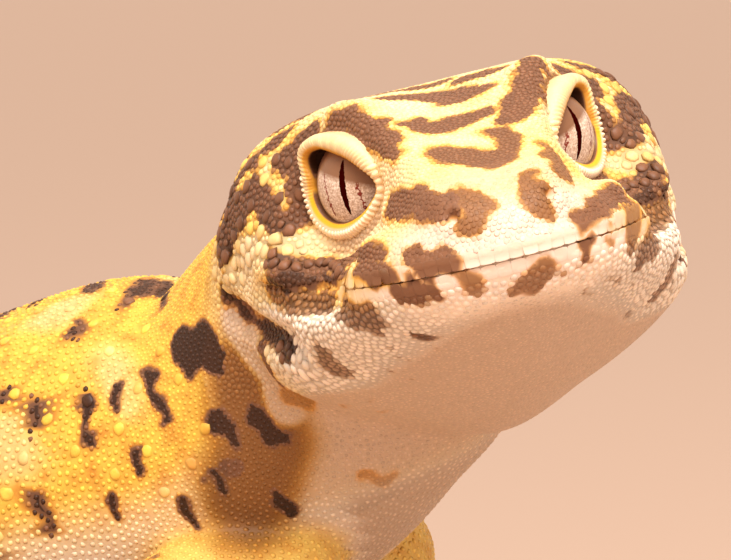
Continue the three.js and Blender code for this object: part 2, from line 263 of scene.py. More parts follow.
def tapered_tube(points, radii, rows, columns):
    """Rings of a tube along a smooth path, its radii spread along it, with round ends."""
    points = np.asarray(points, dtype=float)
    share = (1 - np.cos(np.linspace(0.02, math.pi - 0.02, rows))) / 2
    length = np.linalg.norm(np.diff(points, axis=0), axis=1).sum()
    first, last = radii[0] / length, radii[-1] / length
    place = -first + share * (1 + first + last)
    at, along = path_curve(points, np.clip(place, 0, 1))
    beyond = (place - np.clip(place, 0, 1)) * length
    at = at + along * beyond[:, None]
    radius = smooth_curve(np.linspace(0, 1, len(radii)), radii, np.clip(place, 0, 1))
    round_off = np.sqrt(np.clip(1 - (beyond / np.where(place < 0, radii[0], radii[-1])) ** 2, 0.0004, 1))
    across = unit(np.cross([0, 0, 1], along))
    above = np.cross(along, across)
    angle = even_turns(columns)[None, :, None]
    reach = (radius * round_off)[:, None, None]
    return at[:, None] + reach * (np.cos(angle) * across[:, None] + np.sin(angle) * above[:, None])


# %% [markdown]
# ## The head's form
#
# Nine cross-sections, from the snout's tip to the nape, say how high and how wide the crown, brow, orbit, cheek,
# jaw and throat are. The snout and the nape round off to closed ends.

# %% Head sections
HEAD_STATIONS = {  # places along the head, then there the half-width and height of each named point
    "x": [-17.5, -12, -8, -4, 0, 4, 8, 11, 14],
    "top": [3.2, 4.2, 4.4, 4.0, 3.1, 1.8, 0.3, -0.8, -1.6],
    "brow": [(6.4, 2.6), (7.8, 3.7), (7.6, 4.1), (6.1, 4.3), (5.0, 3.9),
             (4.2, 2.2), (3.5, 0.2), (2.8, -1.0), (2.2, -2.0)],
    "orbit": [(9.6, 0.4), (11.6, 1.3), (11.2, 1.7), (9.1, 1.4), (6.6, 0.8),
              (5.2, -0.4), (5.0, -1.7), (4.5, -2.6), (3.4, -3.2)],
    "cheek": [(10.6, -3.8), (13.0, -3.4), (12.6, -3.2), (11.7, -3.3), (10.5, -3.8),
              (9.3, -4.2), (7.7, -4.4), (6.0, -4.7), (4.2, -4.8)],
    "jaw": [(9.4, -9.9), (11.4, -10.7), (11.6, -10.9), (11.0, -10.6), (10.3, -9.3),
            (8.8, -8.7), (6.8, -7.9), (5.0, -7.1), (3.4, -6.6)],
    "low": [-14.6, -15.8, -15.6, -14.6, -13.0, -11.4, -9.6, -8.3, -7.4],
}
SNOUT_TIP, SNOUT_ROUND = 14.0, 10.5
SKULL_BACK, SKULL_ROUND = -17.5, -11.5


def head_measure(values, x):
    """A measure given at the head's stations, read at places along the head."""
    return smooth_curve(HEAD_STATIONS["x"], values, x)


def head_top_and_low(x):
    return head_measure(HEAD_STATIONS["top"], x), head_measure(HEAD_STATIONS["low"], x)


def head_rings(rows, columns):
    """The head's outline across, at places closer together near its two ends, in the head's frame."""
    turn_along = math.pi * np.linspace(0.02, 0.98, rows)
    x = (SNOUT_TIP + SKULL_BACK) / 2 + np.cos(turn_along) * (SNOUT_TIP - SKULL_BACK) / 2
    named = [HEAD_STATIONS[name] for name in ("brow", "orbit", "cheek", "jaw")]
    side = [np.stack([head_measure([p[k] for p in line], x) for k in (0, 1)], axis=-1) for line in named]
    side = np.stack(side, axis=1)
    top, low = head_top_and_low(x)
    middle = (top + low) / 2
    crown = np.stack([0 * top, top], axis=-1)[:, None]
    throat = np.stack([0 * low, low], axis=-1)[:, None]
    outline = np.concatenate([crown, side, throat, (side * [-1, 1])[:, ::-1]], axis=1)
    ahead = np.clip((x - SNOUT_ROUND) / (SNOUT_TIP - SNOUT_ROUND), 0, 1)
    behind = np.clip((SKULL_ROUND - x) / (SKULL_ROUND - SKULL_BACK), 0, 1)
    shrink = np.sqrt(1 - np.maximum(ahead, behind) ** 2)
    outline[..., 1] -= middle[:, None]
    outline *= shrink[:, None, None]
    outline[..., 1] += middle[:, None]
    curve = ring_curve(outline, columns)
    return np.concatenate([np.broadcast_to(x[:, None, None], curve.shape[:2] + (1,)), curve], axis=-1)


# %% [markdown]
# ## Eyelids
#
# A leopard gecko has real eyelids. Each eye sits in a pit, and a thick rolled rim stands round it: the upper lid
# overhangs like a hood, the lower one is thinner. The rim is a ring of cross-sections round the eye's axis.

# %% Lid rim
LID_AZIMUTH = 58.0  # degrees from the snout to the way the eye's opening faces
LID_MIDDLE = np.array([-0.18, 6.78, -0.09])
# round the opening in degrees: 0 back, 90 up, 180 front, 270 down
LID_TURN = [0, 22, 42, 66, 90, 115, 140, 162, 184, 205, 235, 270, 305, 335]
LID_REACH = [2.68, 2.78, 3.4, 3.05, 2.65, 2.6, 2.9, 3.3, 3.85, 3.15, 2.5, 2.3, 2.46, 2.7]
# the roll's radius, and how far out the rim stands
LID_ROLL = [0.46, 0.46, 0.42, 0.45, 0.52, 0.60, 0.64, 0.60, 0.40, 0.36, 0.38, 0.42, 0.50, 0.50]
LID_STAND = [0.0, 0.0, 0.0, 0.05, 0.1, 0.15, 0.2, 0.15, 0.1, 0.2, 0.25, 0.2, 0.1, 0.0]
LID_DEPTH = 2.6
PIT_DEPTH = 1.9
CANTHUS_DEPTH = 0.75  # of the pit's floor in the two corners, beside the eyeball
FACE_SLOPE = 1.2  # how steeply the face may rise away from the rim's foot


def lid_axes(side):
    """Directions back, up and out of one eye's opening, as rows."""
    a = math.radians(LID_AZIMUTH)
    out = np.array([math.cos(a), side * math.sin(a), 0])
    back = np.array([-math.sin(a), side * math.cos(a), 0])
    return np.array([back, [0, 0, 1], out])


def round_turn(values, angle):
    """Values given at LID_TURN, read smoothly at any angle in degrees."""
    at = np.array([t - 360 for t in LID_TURN] + LID_TURN + [t + 360 for t in LID_TURN])
    return smooth_curve(at, list(values) * 3, np.mod(angle, 360))


def lid_rings(side, rows=120, columns=24, fullness=0.8):
    """One eye's rolled rim with its skirt down into the head, as cross-sections round the opening."""
    angle = np.linspace(0, 360, rows, endpoint=False)
    reach, roll, stand = (round_turn(v, angle) for v in (LID_REACH, LID_ROLL, LID_STAND))
    roll = roll * fullness
    around = even_turns(columns)
    radial = reach[:, None] + roll[:, None] * np.cos(around)
    lift = np.where(np.sin(around) > 0, np.sin(around) * roll[:, None], np.sin(around) * LID_DEPTH)
    out = stand[:, None] + lift
    back, up, ahead = lid_axes(side)
    a = np.radians(angle)[:, None, None]
    spoke = np.cos(a) * back + np.sin(a) * up
    middle = LID_MIDDLE * [1, side, 1]
    return middle + radial[..., None] * spoke + out[..., None] * ahead


def round_lid(local, side):
    """Places of the head's frame by one eye's opening: distance from its axis, turn round it, height over it."""
    lid = (local - LID_MIDDLE * [1, side, 1]) @ lid_axes(side).T
    return np.hypot(lid[:, 0], lid[:, 1]), np.degrees(np.arctan2(lid[:, 1], lid[:, 0])), lid[:, 2]


def sink_pit(points, side):
    """Pushes the head's surface down into a pit inside one eye's rim, and keeps it off the rim all round."""
    radial, angle, over = round_lid(points, side)
    reach, roll, stand = (round_turn(v, angle) for v in (LID_REACH, LID_ROLL, LID_STAND))
    inside = np.clip((reach + 0.15 - radial) / 0.5, 0, 1)
    depth = CANTHUS_DEPTH + (PIT_DEPTH - CANTHUS_DEPTH) * np.clip((2.9 - radial) / 0.6, 0, 1)
    foot = stand - 0.25 + FACE_SLOPE * np.maximum(radial - reach - 0.8 * roll, 0)
    most = foot * (1 - inside) - depth * inside
    push = np.where(over > -4, np.maximum(over - most, 0), 0)
    return points - push[:, None] * lid_axes(side)[2]


# %% [markdown]
# ## Neck, trunk, tail and limbs
#
# The body is one loft along its middle line, from inside the head to the tail's tip, and the limbs are tapered
# tubes with rounded ends that overlap it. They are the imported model's own lengths, made finer.

# %% Body stations
SPINE = [  # centre, half-width, height above the centre, depth below it
    ("head", (-8, -1.2, -4.6), 9.8, 6.6, 8.0),
    ("head", (-14, -2.3, -4.6), 12.0, 7.4, 9.0),
    ("body", (6.8, -0.6, 28.4), 10.5, 10.0, 10.4),
    ("body", (0.4, 0, 22.2), 10.8, 10.5, 10.6),
    ("body", (-8, 0, 19.5), 11.0, 12.0, 10.5),
    ("body", (-20, 0, 16.8), 12.2, 11.2, 10.4),
    ("body", (-34, 0, 15.2), 13.0, 10.9, 10.0),
    ("body", (-48, 0, 13.8), 12.0, 10.2, 8.8),
    ("body", (-60, 0, 12.8), 9.4, 8.4, 7.2),
    ("body", (-69, 0.4, 10.8), 6.4, 6.2, 5.6),
    ("body", (-77, 1.6, 7.9), 6.2, 5.6, 5.4),
    ("body", (-88, 4.6, 6.6), 7.6, 6.2, 6.7),
    ("body", (-102, 9.4, 6.2), 7.4, 6.0, 6.3),
    ("body", (-116, 14.4, 5.0), 6.0, 5.0, 5.1),
    ("body", (-130, 17.4, 3.5), 4.2, 3.5, 3.6),
    ("body", (-143, 17.0, 2.1), 2.5, 2.1, 2.2),
    ("body", (-155, 13.6, 0.9), 0.9, 0.8, 1.0),
]
FORELEG = {
    "joints": [(4.8, 5.8, 14.0), (-2.4, 16.4, 11.0), (4.4, 19.4, 2.6)],
    "upper": [4.2, 4.2, 3.6, 2.9],  # radii
    "lower": [2.9, 3.1, 2.5, 1.8],
    "stride": {1: -5, -1: 0},  # how far ahead the end is, left and right
    "heading": 12,  # of the palm, in degrees outward
    "palm": (2.9, 2.6, 1.35),  # half its length, width and height
    "toes": [-74, -34, 0, 32, 66],  # degrees from the palm's heading
    "lengths": [3.4, 4.4, 4.9, 4.6, 3.6],
}
HINDLEG = {
    "joints": [(-59, 6.0, 12.4), (-48.5, 21.0, 12.6), (-60.5, 26.0, 3.0)],
    "upper": [5.4, 5.6, 4.8, 3.6],
    "lower": [3.6, 3.8, 2.9, 2.0],
    "stride": {1: 3, -1: -4},
    "heading": 34,
    "palm": (3.8, 2.9, 1.5),
    "toes": [-70, -30, -2, 26, 60],
    "lengths": [3.8, 5.0, 5.8, 6.0, 4.4],
}
TOE_RADIUS = 0.85
TOE_ARCH = [(0, 1.0), (0.38, 1.2), (0.72, 0.92), (1, 0.98)]  # share of its length, height in toe radii
TOE_RADII = [0.95, 0.92, 0.74, 0.78, 0.6]
CLAW_LENGTH = 1.3

spine_centres = np.array(
    [from_head(at) if kind == "head" else np.array(at) + DESIGN_SHIFT for kind, at, *_ in SPINE]
)
spine_share = np.linspace(0, 1, len(SPINE))


def spine_frame(t):
    """The middle line's place, and its left and up directions, at shares t of its run."""
    at, along = path_curve(spine_centres, t)
    left = unit(np.cross([0, 0, 1], -along))
    return at, left, np.cross(-along, left)


def spine_rings(rows, columns):
    """The body's outline across, at even shares of its middle line."""
    t = np.linspace(0, 1, rows)
    at, left, up = spine_frame(t)
    width, above, below = (smooth_curve(spine_share, [s[k] for s in SPINE], t) for k in (2, 3, 4))
    angle = even_turns(columns)
    rise = np.cos(angle)
    height = np.where(rise > 0, above[:, None] * rise, below[:, None] * rise)
    spread = width[:, None] * np.sin(angle)
    return at[:, None] + spread[..., None] * left[:, None] + height[..., None] * up[:, None]


def heading_vector(angle):
    return np.array([math.cos(angle), math.sin(angle), 0])


def limb_joints(limb, side):
    """The root, middle joint and end of a limb; each side takes its own stride."""
    step = limb["stride"][side]
    joints = enumerate(limb["joints"])
    return [np.array((x + step * i / 2, side * y, z)) + DESIGN_SHIFT for i, (x, y, z) in joints]


def palm_place(limb, side):
    """The palm's middle and heading, and for each toe where it leaves the palm and its heading."""
    wrist = limb_joints(limb, side)[2]
    heading = math.radians(side * limb["heading"])
    reach = limb["palm"][0] * 0.55
    middle = wrist * [1, 1, 0] + heading_vector(heading) * reach + [0, 0, limb["palm"][2] * 0.85]
    turns = [heading + math.radians(side * spread) for spread in limb["toes"]]
    toes = [(middle + reach * heading_vector(a), heading_vector(a)) for a in turns]
    return middle, heading_vector(heading), toes


def add_limb(shapes, limb, side):
    """Two tapered lengths, a flat round palm and five toes."""
    root, middle, end = limb_joints(limb, side)
    shapes.add(tapered_tube([root, (root + middle) / 2, middle], limb["upper"], 40, 32))
    shapes.add(tapered_tube([middle, (middle + end) / 2, end], limb["lower"], 40, 32))
    palm, along, toes = palm_place(limb, side)
    across = np.array([-along[1], along[0], 0])
    latitude = np.linspace(0.03, math.pi - 0.03, 20)[:, None, None]
    angle = even_turns(28)[None, :, None]
    a, b, c = limb["palm"]
    girth = np.cos(angle) * b * across + np.sin(angle) * np.array([0, 0, c])
    shapes.add(palm - np.cos(latitude) * a * along + np.sin(latitude) * girth)
    for (toe_root, ahead), length in zip(toes, limb["lengths"]):
        foot = toe_root * [1, 1, 0]
        path = [foot + ahead * length * s + [0, 0, h * TOE_RADIUS] for s, h in TOE_ARCH]
        shapes.add(tapered_tube(path, TOE_RADII, 24, 14))


# %% Gather the rough skin and remesh it as one surface
SKIN_VOXEL = 0.25

rough = Shapes()
head = head_rings(150, 160)
head_points = head.reshape(-1, 3)
for side in (1, -1):
    head_points = sink_pit(head_points, side)
rough.add(from_head(head_points).reshape(head.shape))
for side in (1, -1):
    rough.add(from_head(lid_rings(side)), closed=True)
rough.add(spine_rings(260, 96))
for side in (1, -1):
    for limb in (FORELEG, HINDLEG):
        add_limb(rough, limb, side)

rough_mesh = bpy.data.meshes.new("rough")
rough_mesh.from_pydata(np.concatenate(rough.points).tolist(), [], rough.faces)
rough_object = in_scene("rough", rough_mesh)
remesh = rough_object.modifiers.new("one surface", "REMESH")
remesh.mode = "VOXEL"
remesh.voxel_size = SKIN_VOXEL
fused = evaluated_mesh(rough_object)
print("fused skin:", len(fused.vertices), "points")

# %% [markdown]
# ## Fine forms
#
# The remeshed skin is even all over, so its vertices can be moved like clay. Where lengths were only pushed
# together, at the neck, shoulders and hips, smoothing blends them. Then grooves, folds and bulges are pressed in
# along the surface's normals, each described where it lies on the animal.


# %% Soft steps and smoothing
def set_points(mesh, points):
    mesh.vertices.foreach_set("co", points.astype(np.float32).ravel())
    mesh.update()


def smoothed(points, edges, strength, steps):
    """Laplacian smoothing, by each point's own strength from 0 to 1."""
    moving = strength > 0.001
    used = edges[moving[edges[:, 0]] | moving[edges[:, 1]]]
    count = np.bincount(used.ravel(), minlength=len(points))
    active = np.nonzero(moving & (count > 0))[0]
    result = points.copy()
    for _ in range(steps):
        for k in range(3):
            total = np.bincount(used[:, 0], result[used[:, 1], k], len(points))
            total += np.bincount(used[:, 1], result[used[:, 0], k], len(points))
            mean = total[active] / count[active]
            result[active, k] += strength[active] * (mean - result[active, k])
    return result


def ramp(value, low, high):
    """0 below low, 1 above high, smooth between."""
    t = np.clip((value - low) / (high - low), 0, 1)
    return t * t * (3 - 2 * t)


def bump(distance, width):
    """1 at no distance, falling smoothly to 0 at the width."""
    return ramp(1 - np.abs(distance) / width, 0, 1)


def head_parts(points):
    """Points in the head's frame: as they are, then x, distance from the middle plane, z, and mirrored left."""
    local = to_head(points)
    x, out, z = local[:, 0], np.abs(local[:, 1]), local[:, 2]
    return local, x, out, z, np.stack([x, out, z], axis=1)


def head_share(x, out, z):
    """1 on the head, 0 on the body, soft over the nape."""
    return ramp(x, -16, -11) * (out < HEAD_HALF) * ramp(z, HEAD_LOW, -17)


# %% Blend the joins
skin_points = mesh_points(fused)
skin_edges = mesh_array(fused.edges, "vertices", 2, np.int32)

# place, reach and strength
blend_spots = [(from_head((-14, 0, -12)), 13, 0.9), (from_head((-17, 0, 0)), 9, 0.8)]
for side in (1, -1):
    for limb, reach in ((FORELEG, 7.0), (HINDLEG, 8.5)):
        root, knee, end = limb_joints(limb, side)
        blend_spots += [(root + (knee - root) * 0.3, reach, 1.0), (knee, 4.5, 0.8), (end, 3.2, 0.6)]
strength = np.zeros(len(skin_points))
for centre, reach, most in blend_spots:
    near = np.linalg.norm(skin_points - centre, axis=1)
    strength = np.maximum(strength, most * bump(near, reach * 1.3))
in_head = to_head(skin_points)
strength *= np.where(in_head[:, 0] > -9, ramp(-in_head[:, 0], 6, 9), 1)
skin_points = smoothed(skin_points, skin_edges, strength, 40)
skin_points = smoothed(skin_points, skin_edges, np.full(len(skin_points), 0.5), 2)
set_points(fused, skin_points)
print("joins blended:", int((strength > 0.05).sum()), "points")

# %% [markdown]
# The face's forms are told by where they lie in the head's frame. The closed mouth is a groove from corner to
# corner, with a full upper lip over it. A ridge runs from the eye to the nostril above a hollow, the brow swells
# above each eye, and a crease lies under the lower lid.

# %% Lines on the face
MOUTH_PLACE = [-5.2, -1, 4, 10, 16]  # the closed mouth's line, from its corner to the snout
MOUTH_HEIGHT = [-4.4, -4.9, -5.2, -5.4, -5.5]
NOSTRIL = np.array([12.5, 2.6, -2.75])
MOUTH_CORNER = np.array([-5.4, 11.3, -4.7])


def mouth_line(x):
    return smooth_curve(MOUTH_PLACE, MOUTH_HEIGHT, np.clip(x, MOUTH_PLACE[0], 16))


THROAT_PLACE = [-6, -1, 2, 5, 8, 12.5]  # where beads give way to the smooth throat, below the mouth's line
THROAT_DEPTH = [6.8, 6.3, 5.3, 4.4, 3.4, 2.0]


def past_throat_edge(x, z):
    """How far places of the head are below the edge of the throat."""
    return mouth_line(x) - z - np.interp(x, THROAT_PLACE, THROAT_DEPTH)


def line_distance(points, line, widths=0.0):
    """How far each point is from a line through given places, less the line's half-width there."""
    line = np.asarray(line, dtype=float)
    widths = np.broadcast_to(np.asarray(widths, float), len(line))
    if len(line) == 1:
        return np.linalg.norm(points - line[0], axis=1) - widths[0]
    best = np.full(len(points), 1e9)
    for a, b, wide_a, wide_b in zip(line[:-1], line[1:], widths[:-1], widths[1:]):
        run = b - a
        t = np.clip((points - a) @ run / (run @ run), 0, 1)
        away = np.linalg.norm(points - a - t[:, None] * run, axis=1) - wide_a - t * (wide_b - wide_a)
        best = np.minimum(best, away)
    return best


# %% Form the face
SUNK_LINES = [  # depth, half-width, places on the left side, which the right side mirrors
    # under the lower lid
    (0.40, 0.8, [(3.6, 5.6, -2.2), (1.5, 7.0, -3.4), (-1.0, 8.2, -3.7), (-3.2, 9.2, -3.0)]),
    # the hollow before the eye
    (0.40, 1.5, [(4.8, 5.4, -2.0), (8.0, 4.8, -3.0), (10.6, 4.0, -3.4)]),
    (0.75, 1.2, [(8.0, 6.2, -1.8), (5.5, 6.8, -2.1), (3.2, 7.2, -2.3)]),
    # the cheek's fold, under the hind lip, and the neck's fold
    (1.30, 1.8, [(-11.5, 13.0, -5.6), (-8.5, 12.8, -7.0), (-5.0, 12.4, -7.5), (-1.0, 11.4, -8.1)]),
    (0.80, 1.5, [(-5.0, 11.4, -5.4), (-1.0, 10.8, -5.8), (3.0, 9.6, -6.0), (5.5, 8.6, -6.0)]),
    (0.45, 0.9, [(-12.6, 11.4, -0.5), (-13.6, 11.4, -5.0), (-13.4, 10.4, -10.0), (-12.0, 7.5, -14.0)]),
]
RAISED_LINES = [  # height, half-width, places on the left side
    (0.50, 1.5, [(-1.9, 5.9, 4.0), (-0.4, 4.9, 3.7), (1.2, 4.3, 2.6)]),  # the brow's pad
    (0.28, 1.1, [(3.6, 4.3, 0.4), (7.4, 3.6, -1.0), (11.0, 2.9, -1.9)]),  # the ridge to the nostril
    (0.30, 1.3, [(-5.0, 11.4, -3.2), (-1.5, 11.0, -4.0), (2.4, 9.8, -4.3)]),  # the full hind lip
    (0.20, 0.9, [(8.5, 6.6, -3.3), (6.0, 7.6, -3.45), (4.2, 8.3, -3.6)]),  # the ridge over the lip
    (0.70, 6.5, [(-10.5, 0.0, -15.8), (-14.5, 0.0, -17.0)]),  # the throat's sag
]

local, x, out, z, mirrored = head_parts(skin_points)
normals = mesh_array(fused.vertices, "normal", 3) @ HEAD_TURN
push = np.zeros(len(local))
for sign, lines in ((-1, SUNK_LINES), (1, RAISED_LINES)):
    for height, width, line in lines:
        push += sign * height * bump(np.maximum(line_distance(mirrored, line), 0), width)
above_mouth = z - mouth_line(x)
along_mouth = ramp(x, -5.8, -5.0)
push += along_mouth * (0.16 * bump(above_mouth - 0.6, 0.8) - 0.35 * bump(above_mouth, 0.2))
push += 0.06 * along_mouth * bump(above_mouth + 0.6, 0.6)
push -= 0.5 * bump(np.linalg.norm(mirrored - MOUTH_CORNER, axis=1), 1.3)
# a fine crease where the throat begins, the nostril's rim and pit, and the crown's shallow middle furrow
push -= 0.16 * bump(past_throat_edge(x, z) - 0.35, 0.35) * ramp(x, 2, 6)
pit = np.linalg.norm(mirrored - NOSTRIL, axis=1)
push += 0.25 * bump(pit, 1.7) - 0.8 * bump(pit, 0.6)
push -= 0.25 * bump(out, 2.4) * bump(x + 4, 6) * (z > 0)
skin_points = skin_points + (push * ramp(x, -24, -20))[:, None] * (normals @ HEAD_TURN.T)
set_points(fused, skin_points)
print("face formed")

# %% Thin the skin where it is plain
SKIN_SHARE = 0.31  # of the remeshed triangles that stay
COARSE_LEVELS = 8

skin_rough = in_scene("skin_rough", fused)
coarse = skin_rough.vertex_groups.new(name="coarse")
coarseness = np.round((1 - ramp(local[:, 0], -20, -14)) * COARSE_LEVELS) / COARSE_LEVELS
for level in np.unique(coarseness):
    coarse.add(np.nonzero(coarseness == level)[0].tolist(), float(level), "REPLACE")
thin = skin_rough.modifiers.new("thin", "DECIMATE")
thin.ratio = SKIN_SHARE
thin.vertex_group = "coarse"
thin.vertex_group_factor = 2.5
thin.use_collapse_triangulate = True
skin_mesh = evaluated_mesh(skin_rough)
skin_mesh.name = "skin"
print("skin:", len(skin_mesh.polygons), "triangles")

# %% [markdown]
# A place on the head is told as a reader would point to it: how far along the head it is, and the angle round the
# head from the crown, positive on the left. A ray from the head's middle line finds the skin there.


# %% The head's surface as a chart
def surface_tree(mesh):
    """A mesh's faces, ready to be asked for the nearest place or for the first one along a ray."""
    return BVHTree.FromPolygons(mesh_points(mesh).tolist(), [tuple(p.vertices) for p in mesh.polygons])


def nearest_on(tree, points):
    """The nearest places on a surface, and the faces they are on."""
    hits = [tree.find_nearest(p) for p in points.tolist()]
    return np.array([hit[0][:] for hit in hits]), np.array([hit[2] for hit in hits])


def ray_to_skin(start, ray):
    """Where a ray first meets the skin; its start, if it doesn't."""
    hit = skin_tree.ray_cast(Vector(start), Vector(ray))[0]
    return np.array(hit) if hit else start


def on_head(x, angle):
    """The skin at a place on the head's chart, in the row's frame."""
    top, low = head_top_and_low(x)
    a = math.radians(angle)
    ray = HEAD_TURN @ np.array([0, math.sin(a), math.cos(a)])
    return ray_to_skin(from_head((x, 0, (top + low) / 2)), ray)


def on_body(t, angle):
    """The skin at a share of the middle line's run and an angle from the back, positive on the left."""
    at, left, up = (v[0] for v in spine_frame(np.array([t])))
    a = math.radians(angle)
    return ray_to_skin(at, math.sin(a) * left + math.cos(a) * up)


skin_tree = surface_tree(skin_mesh)
print("snout's tip:", on_head(13.5, 0).round(1))


# %% [markdown]
# ## Markings
#
# A leopard gecko's pattern is brown blotches on a cream to orange ground. Each blotch on the head is a stroke: how
# dark it is, then its places on the chart with the stroke's half-width at each. Strokes of a negative strength
# clear the ground again. A few strokes and fields paint shade as well: at the mouth's corner, round the eyes, on
# the muzzle and on the shoulder. The same fields are read by the skin and by every scale, so both carry one
# pattern.

# %% Strokes on the head
# each stroke: how dark it is, below 0 if it clears what is dark, then place along the head, angle and half-width
STROKES_BOTH_SIDES = [
    (0.91, [(-3.6, 41, 0.9), (-4.3, 47, 1.0), (-4.9, 53, 0.8)]),  # temple, behind the eye
    (0.9, [(-3.3, 51, 0.9), (-3.0, 59, 0.85), (-2.9, 65, 0.75), (-3.7, 69, 0.7)]),
    (0.91, [(-4.5, 65, 1.1), (-6.7, 64, 1.6), (-9.2, 67, 1.5), (-10.6, 74, 1.2)]),
    (0.91, [(-5.8, 44, 0.7), (-7.5, 50, 0.9), (-7.4, 57, 0.9)]),
    (0.92, [(-9.2, 54, 1.0), (-10.6, 62, 1.2)]),
    (0.91, [(-7.0, 37, 0.7), (-8.6, 43, 0.8)]),
    (0.91, [(-8.0, 25, 0.8), (-9.4, 33, 0.8)]),
    (0.91, [(-11.6, 45, 0.9), (-12.4, 58, 1.0), (-12.8, 70, 0.9)]),
    (0.85, [(-2.6, 80, 0.5), (-1.6, 82, 0.6), (-0.2, 84, 0.7),  # hind lip
            (1.2, 84, 0.7), (2.6, 83, 0.6), (4.2, 82, 0.5)]),
    (0.95, [(-2.6, 86.5, 0.6), (-0.6, 87.5, 0.5), (2.0, 89, 0.35), (4.4, 89, 0.2)]),  # painted shadow in the pocket at the mouth's corner
    (0.66, [(-3.9, 88, 0.6), (-1.0, 94, 0.9), (2.1, 97, 0.7)]),  # cheek
    (0.64, [(4.4, 100, 0.6), (6.5, 104, 1.0), (7.8, 109, 0.9)]),
    (0.95, [(-11.8, 86, 0.5), (-11.5, 91, 0.5), (-9.8, 96, 0.5),  # cheek fold
            (-5.3, 103, 0.6), (-3.7, 106, 0.7)]),
    (0.9, [(-8.6, 101, 0.4), (-7.6, 106, 0.5), (-9.8, 111, 0.4)]),
    (0.6, [(1.8, 110, 0.6), (0.4, 115, 0.8), (0.0, 119, 0.8)]),  # jaw's corner
    (0.5, [(-10.1, 116, 0.6), (-9.8, 120, 0.8)]),
    (-1.0, [(-4.0, 33, 0.6), (-5.0, 41, 0.4), (-5.9, 50, 0.4), (-8.4, 60, 0.45)]),  # pale stripes on the temple
    (-1.0, [(-6.6, 40, 0.35), (-8.5, 50, 0.35), (-10.2, 56, 0.4)]),
    (-1.0, [(-5.0, 56, 0.4), (-4.3, 59, 0.55)]),  # yellow spots in the temple
    (-1.0, [(-6.0, 70, 0.6), (-6.4, 73, 0.7)]),
    (-1.0, [(-8.5, 79, 0.5), (-5.0, 77, 0.6), (-2.0, 75, 0.75)]),  # yellow band over the hind lip
    (-0.9, [(-4.2, 91, 0.4)]),
    (-0.9, [(-1.2, 99, 0.45)]),
]
STROKES_RIGHT = [
    (0.88, [(-1.3, -37, 0.65), (0.5, -34, 0.85), (2.7, -32, 0.9), (4.5, -33, 0.8), (5.7, -34, 0.5)]),  # brow pad
    (0.88, [(6.8, -58, 0.7), (9.4, -54, 0.9), (11.4, -52, 0.95), (12.4, -48, 0.8)]),  # lore
    (0.8, [(7.1, -82, 0.45), (8.2, -81, 0.5), (9.6, -83, 0.4)]),
    (0.88, [(8.0, -88, 0.5), (9.5, -90, 0.65), (10.6, -92, 0.6)]),  # upper labials
    (0.88, [(11.7, -88, 0.6), (12.5, -91, 0.85), (13.1, -96, 0.6)]),
    (0.88, [(10.6, -103, 0.6), (11.4, -106, 0.75), (11.9, -109, 0.7)]),  # lower labials
    (0.57, [(13.1, -113, 0.38), (13.0, -123, 0.5), (12.6, -130, 0.45)]),
    (0.72, [(8.1, -122, 0.18), (7.7, -128, 0.36), (7.5, -134, 0.25)]),
    (0.64, [(12.0, -30, 0.6), (13.0, -33, 0.8), (13.3, -52, 0.8)]),  # nostril
    (0.4, [(-12.3, -146, 0.5), (-12.9, -151, 0.4)]),
    (0.6, [(4.6, -125, 0.1), (4.5, -128, 0.12)]),  # specks on the throat
    (0.6, [(0.9, -136, 0.1), (0.9, -139, 0.12)]),
    (0.6, [(2.5, -129, 0.08), (2.0, -131, 0.1)]),
    (0.6, [(4.6, -131, 0.08), (3.9, -132, 0.1)]),
    (0.6, [(6.0, -139, 0.08)]),
    (0.6, [(-2.4, -132, 0.1), (-3.2, -132, 0.1)]),
    (0.5, [(-5.2, -128, 0.14), (-6.0, -128, 0.14)]),
    (0.5, [(-4.4, -138, 0.12), (-5.0, -138, 0.12)]),
    (0.6, [(8.1, -128, 0.1), (7.6, -128, 0.08)]),
    (0.6, [(6.2, -123, 0.1), (5.8, -124, 0.1)]),
]
STROKES_LEFT = [
    (0.88, [(-0.6, 31, 0.8), (0.9, 30, 0.9), (2.3, 29, 1.0), (4.0, 26, 1.1), (5.3, 23, 0.8)]),  # brow pad
    (0.64, [(8.6, 40, 0.5), (9.6, 46, 0.7), (10.8, 54, 0.7)]),
    (0.85, [(5.5, 76, 0.7), (2.0, 78, 0.8), (-1.3, 79, 0.9)]),
    (0.8, [(12.6, 88, 0.5), (11.6, 85, 0.7), (8.5, 81, 0.7)]),
    (0.6, [(8.6, 90, 0.8), (9.2, 97, 0.9), (9.4, 103, 0.8)]),
    (0.8, [(12.5, 106, 0.32), (12.6, 111, 0.35), (12.3, 117, 0.3)]),
    (0.7, [(11.4, 99, 0.25), (11.3, 105, 0.25)]),
    (0.55, [(9.3, 121, 0.15), (7.5, 123, 0.15)]),
    (0.55, [(9.8, 133, 0.1), (8.8, 134, 0.1)]),  # specks on the throat
    (0.6, [(8.4, 122, 0.14), (8.0, 125, 0.14)]),
    (0.55, [(1.6, 129, 0.16), (0.6, 129, 0.16)]),
    (0.55, [(-0.5, 132, 0.12)]),
    (0.55, [(5.9, 121, 0.12), (5.6, 124, 0.12)]),
    (0.55, [(12.6, 140, 0.1), (12.2, 126, 0.12), (12.0, 114, 0.1)]),
    (0.64, [(12.0, 32, 0.6), (13.0, 42, 0.9), (13.3, 57, 0.7)]),
]
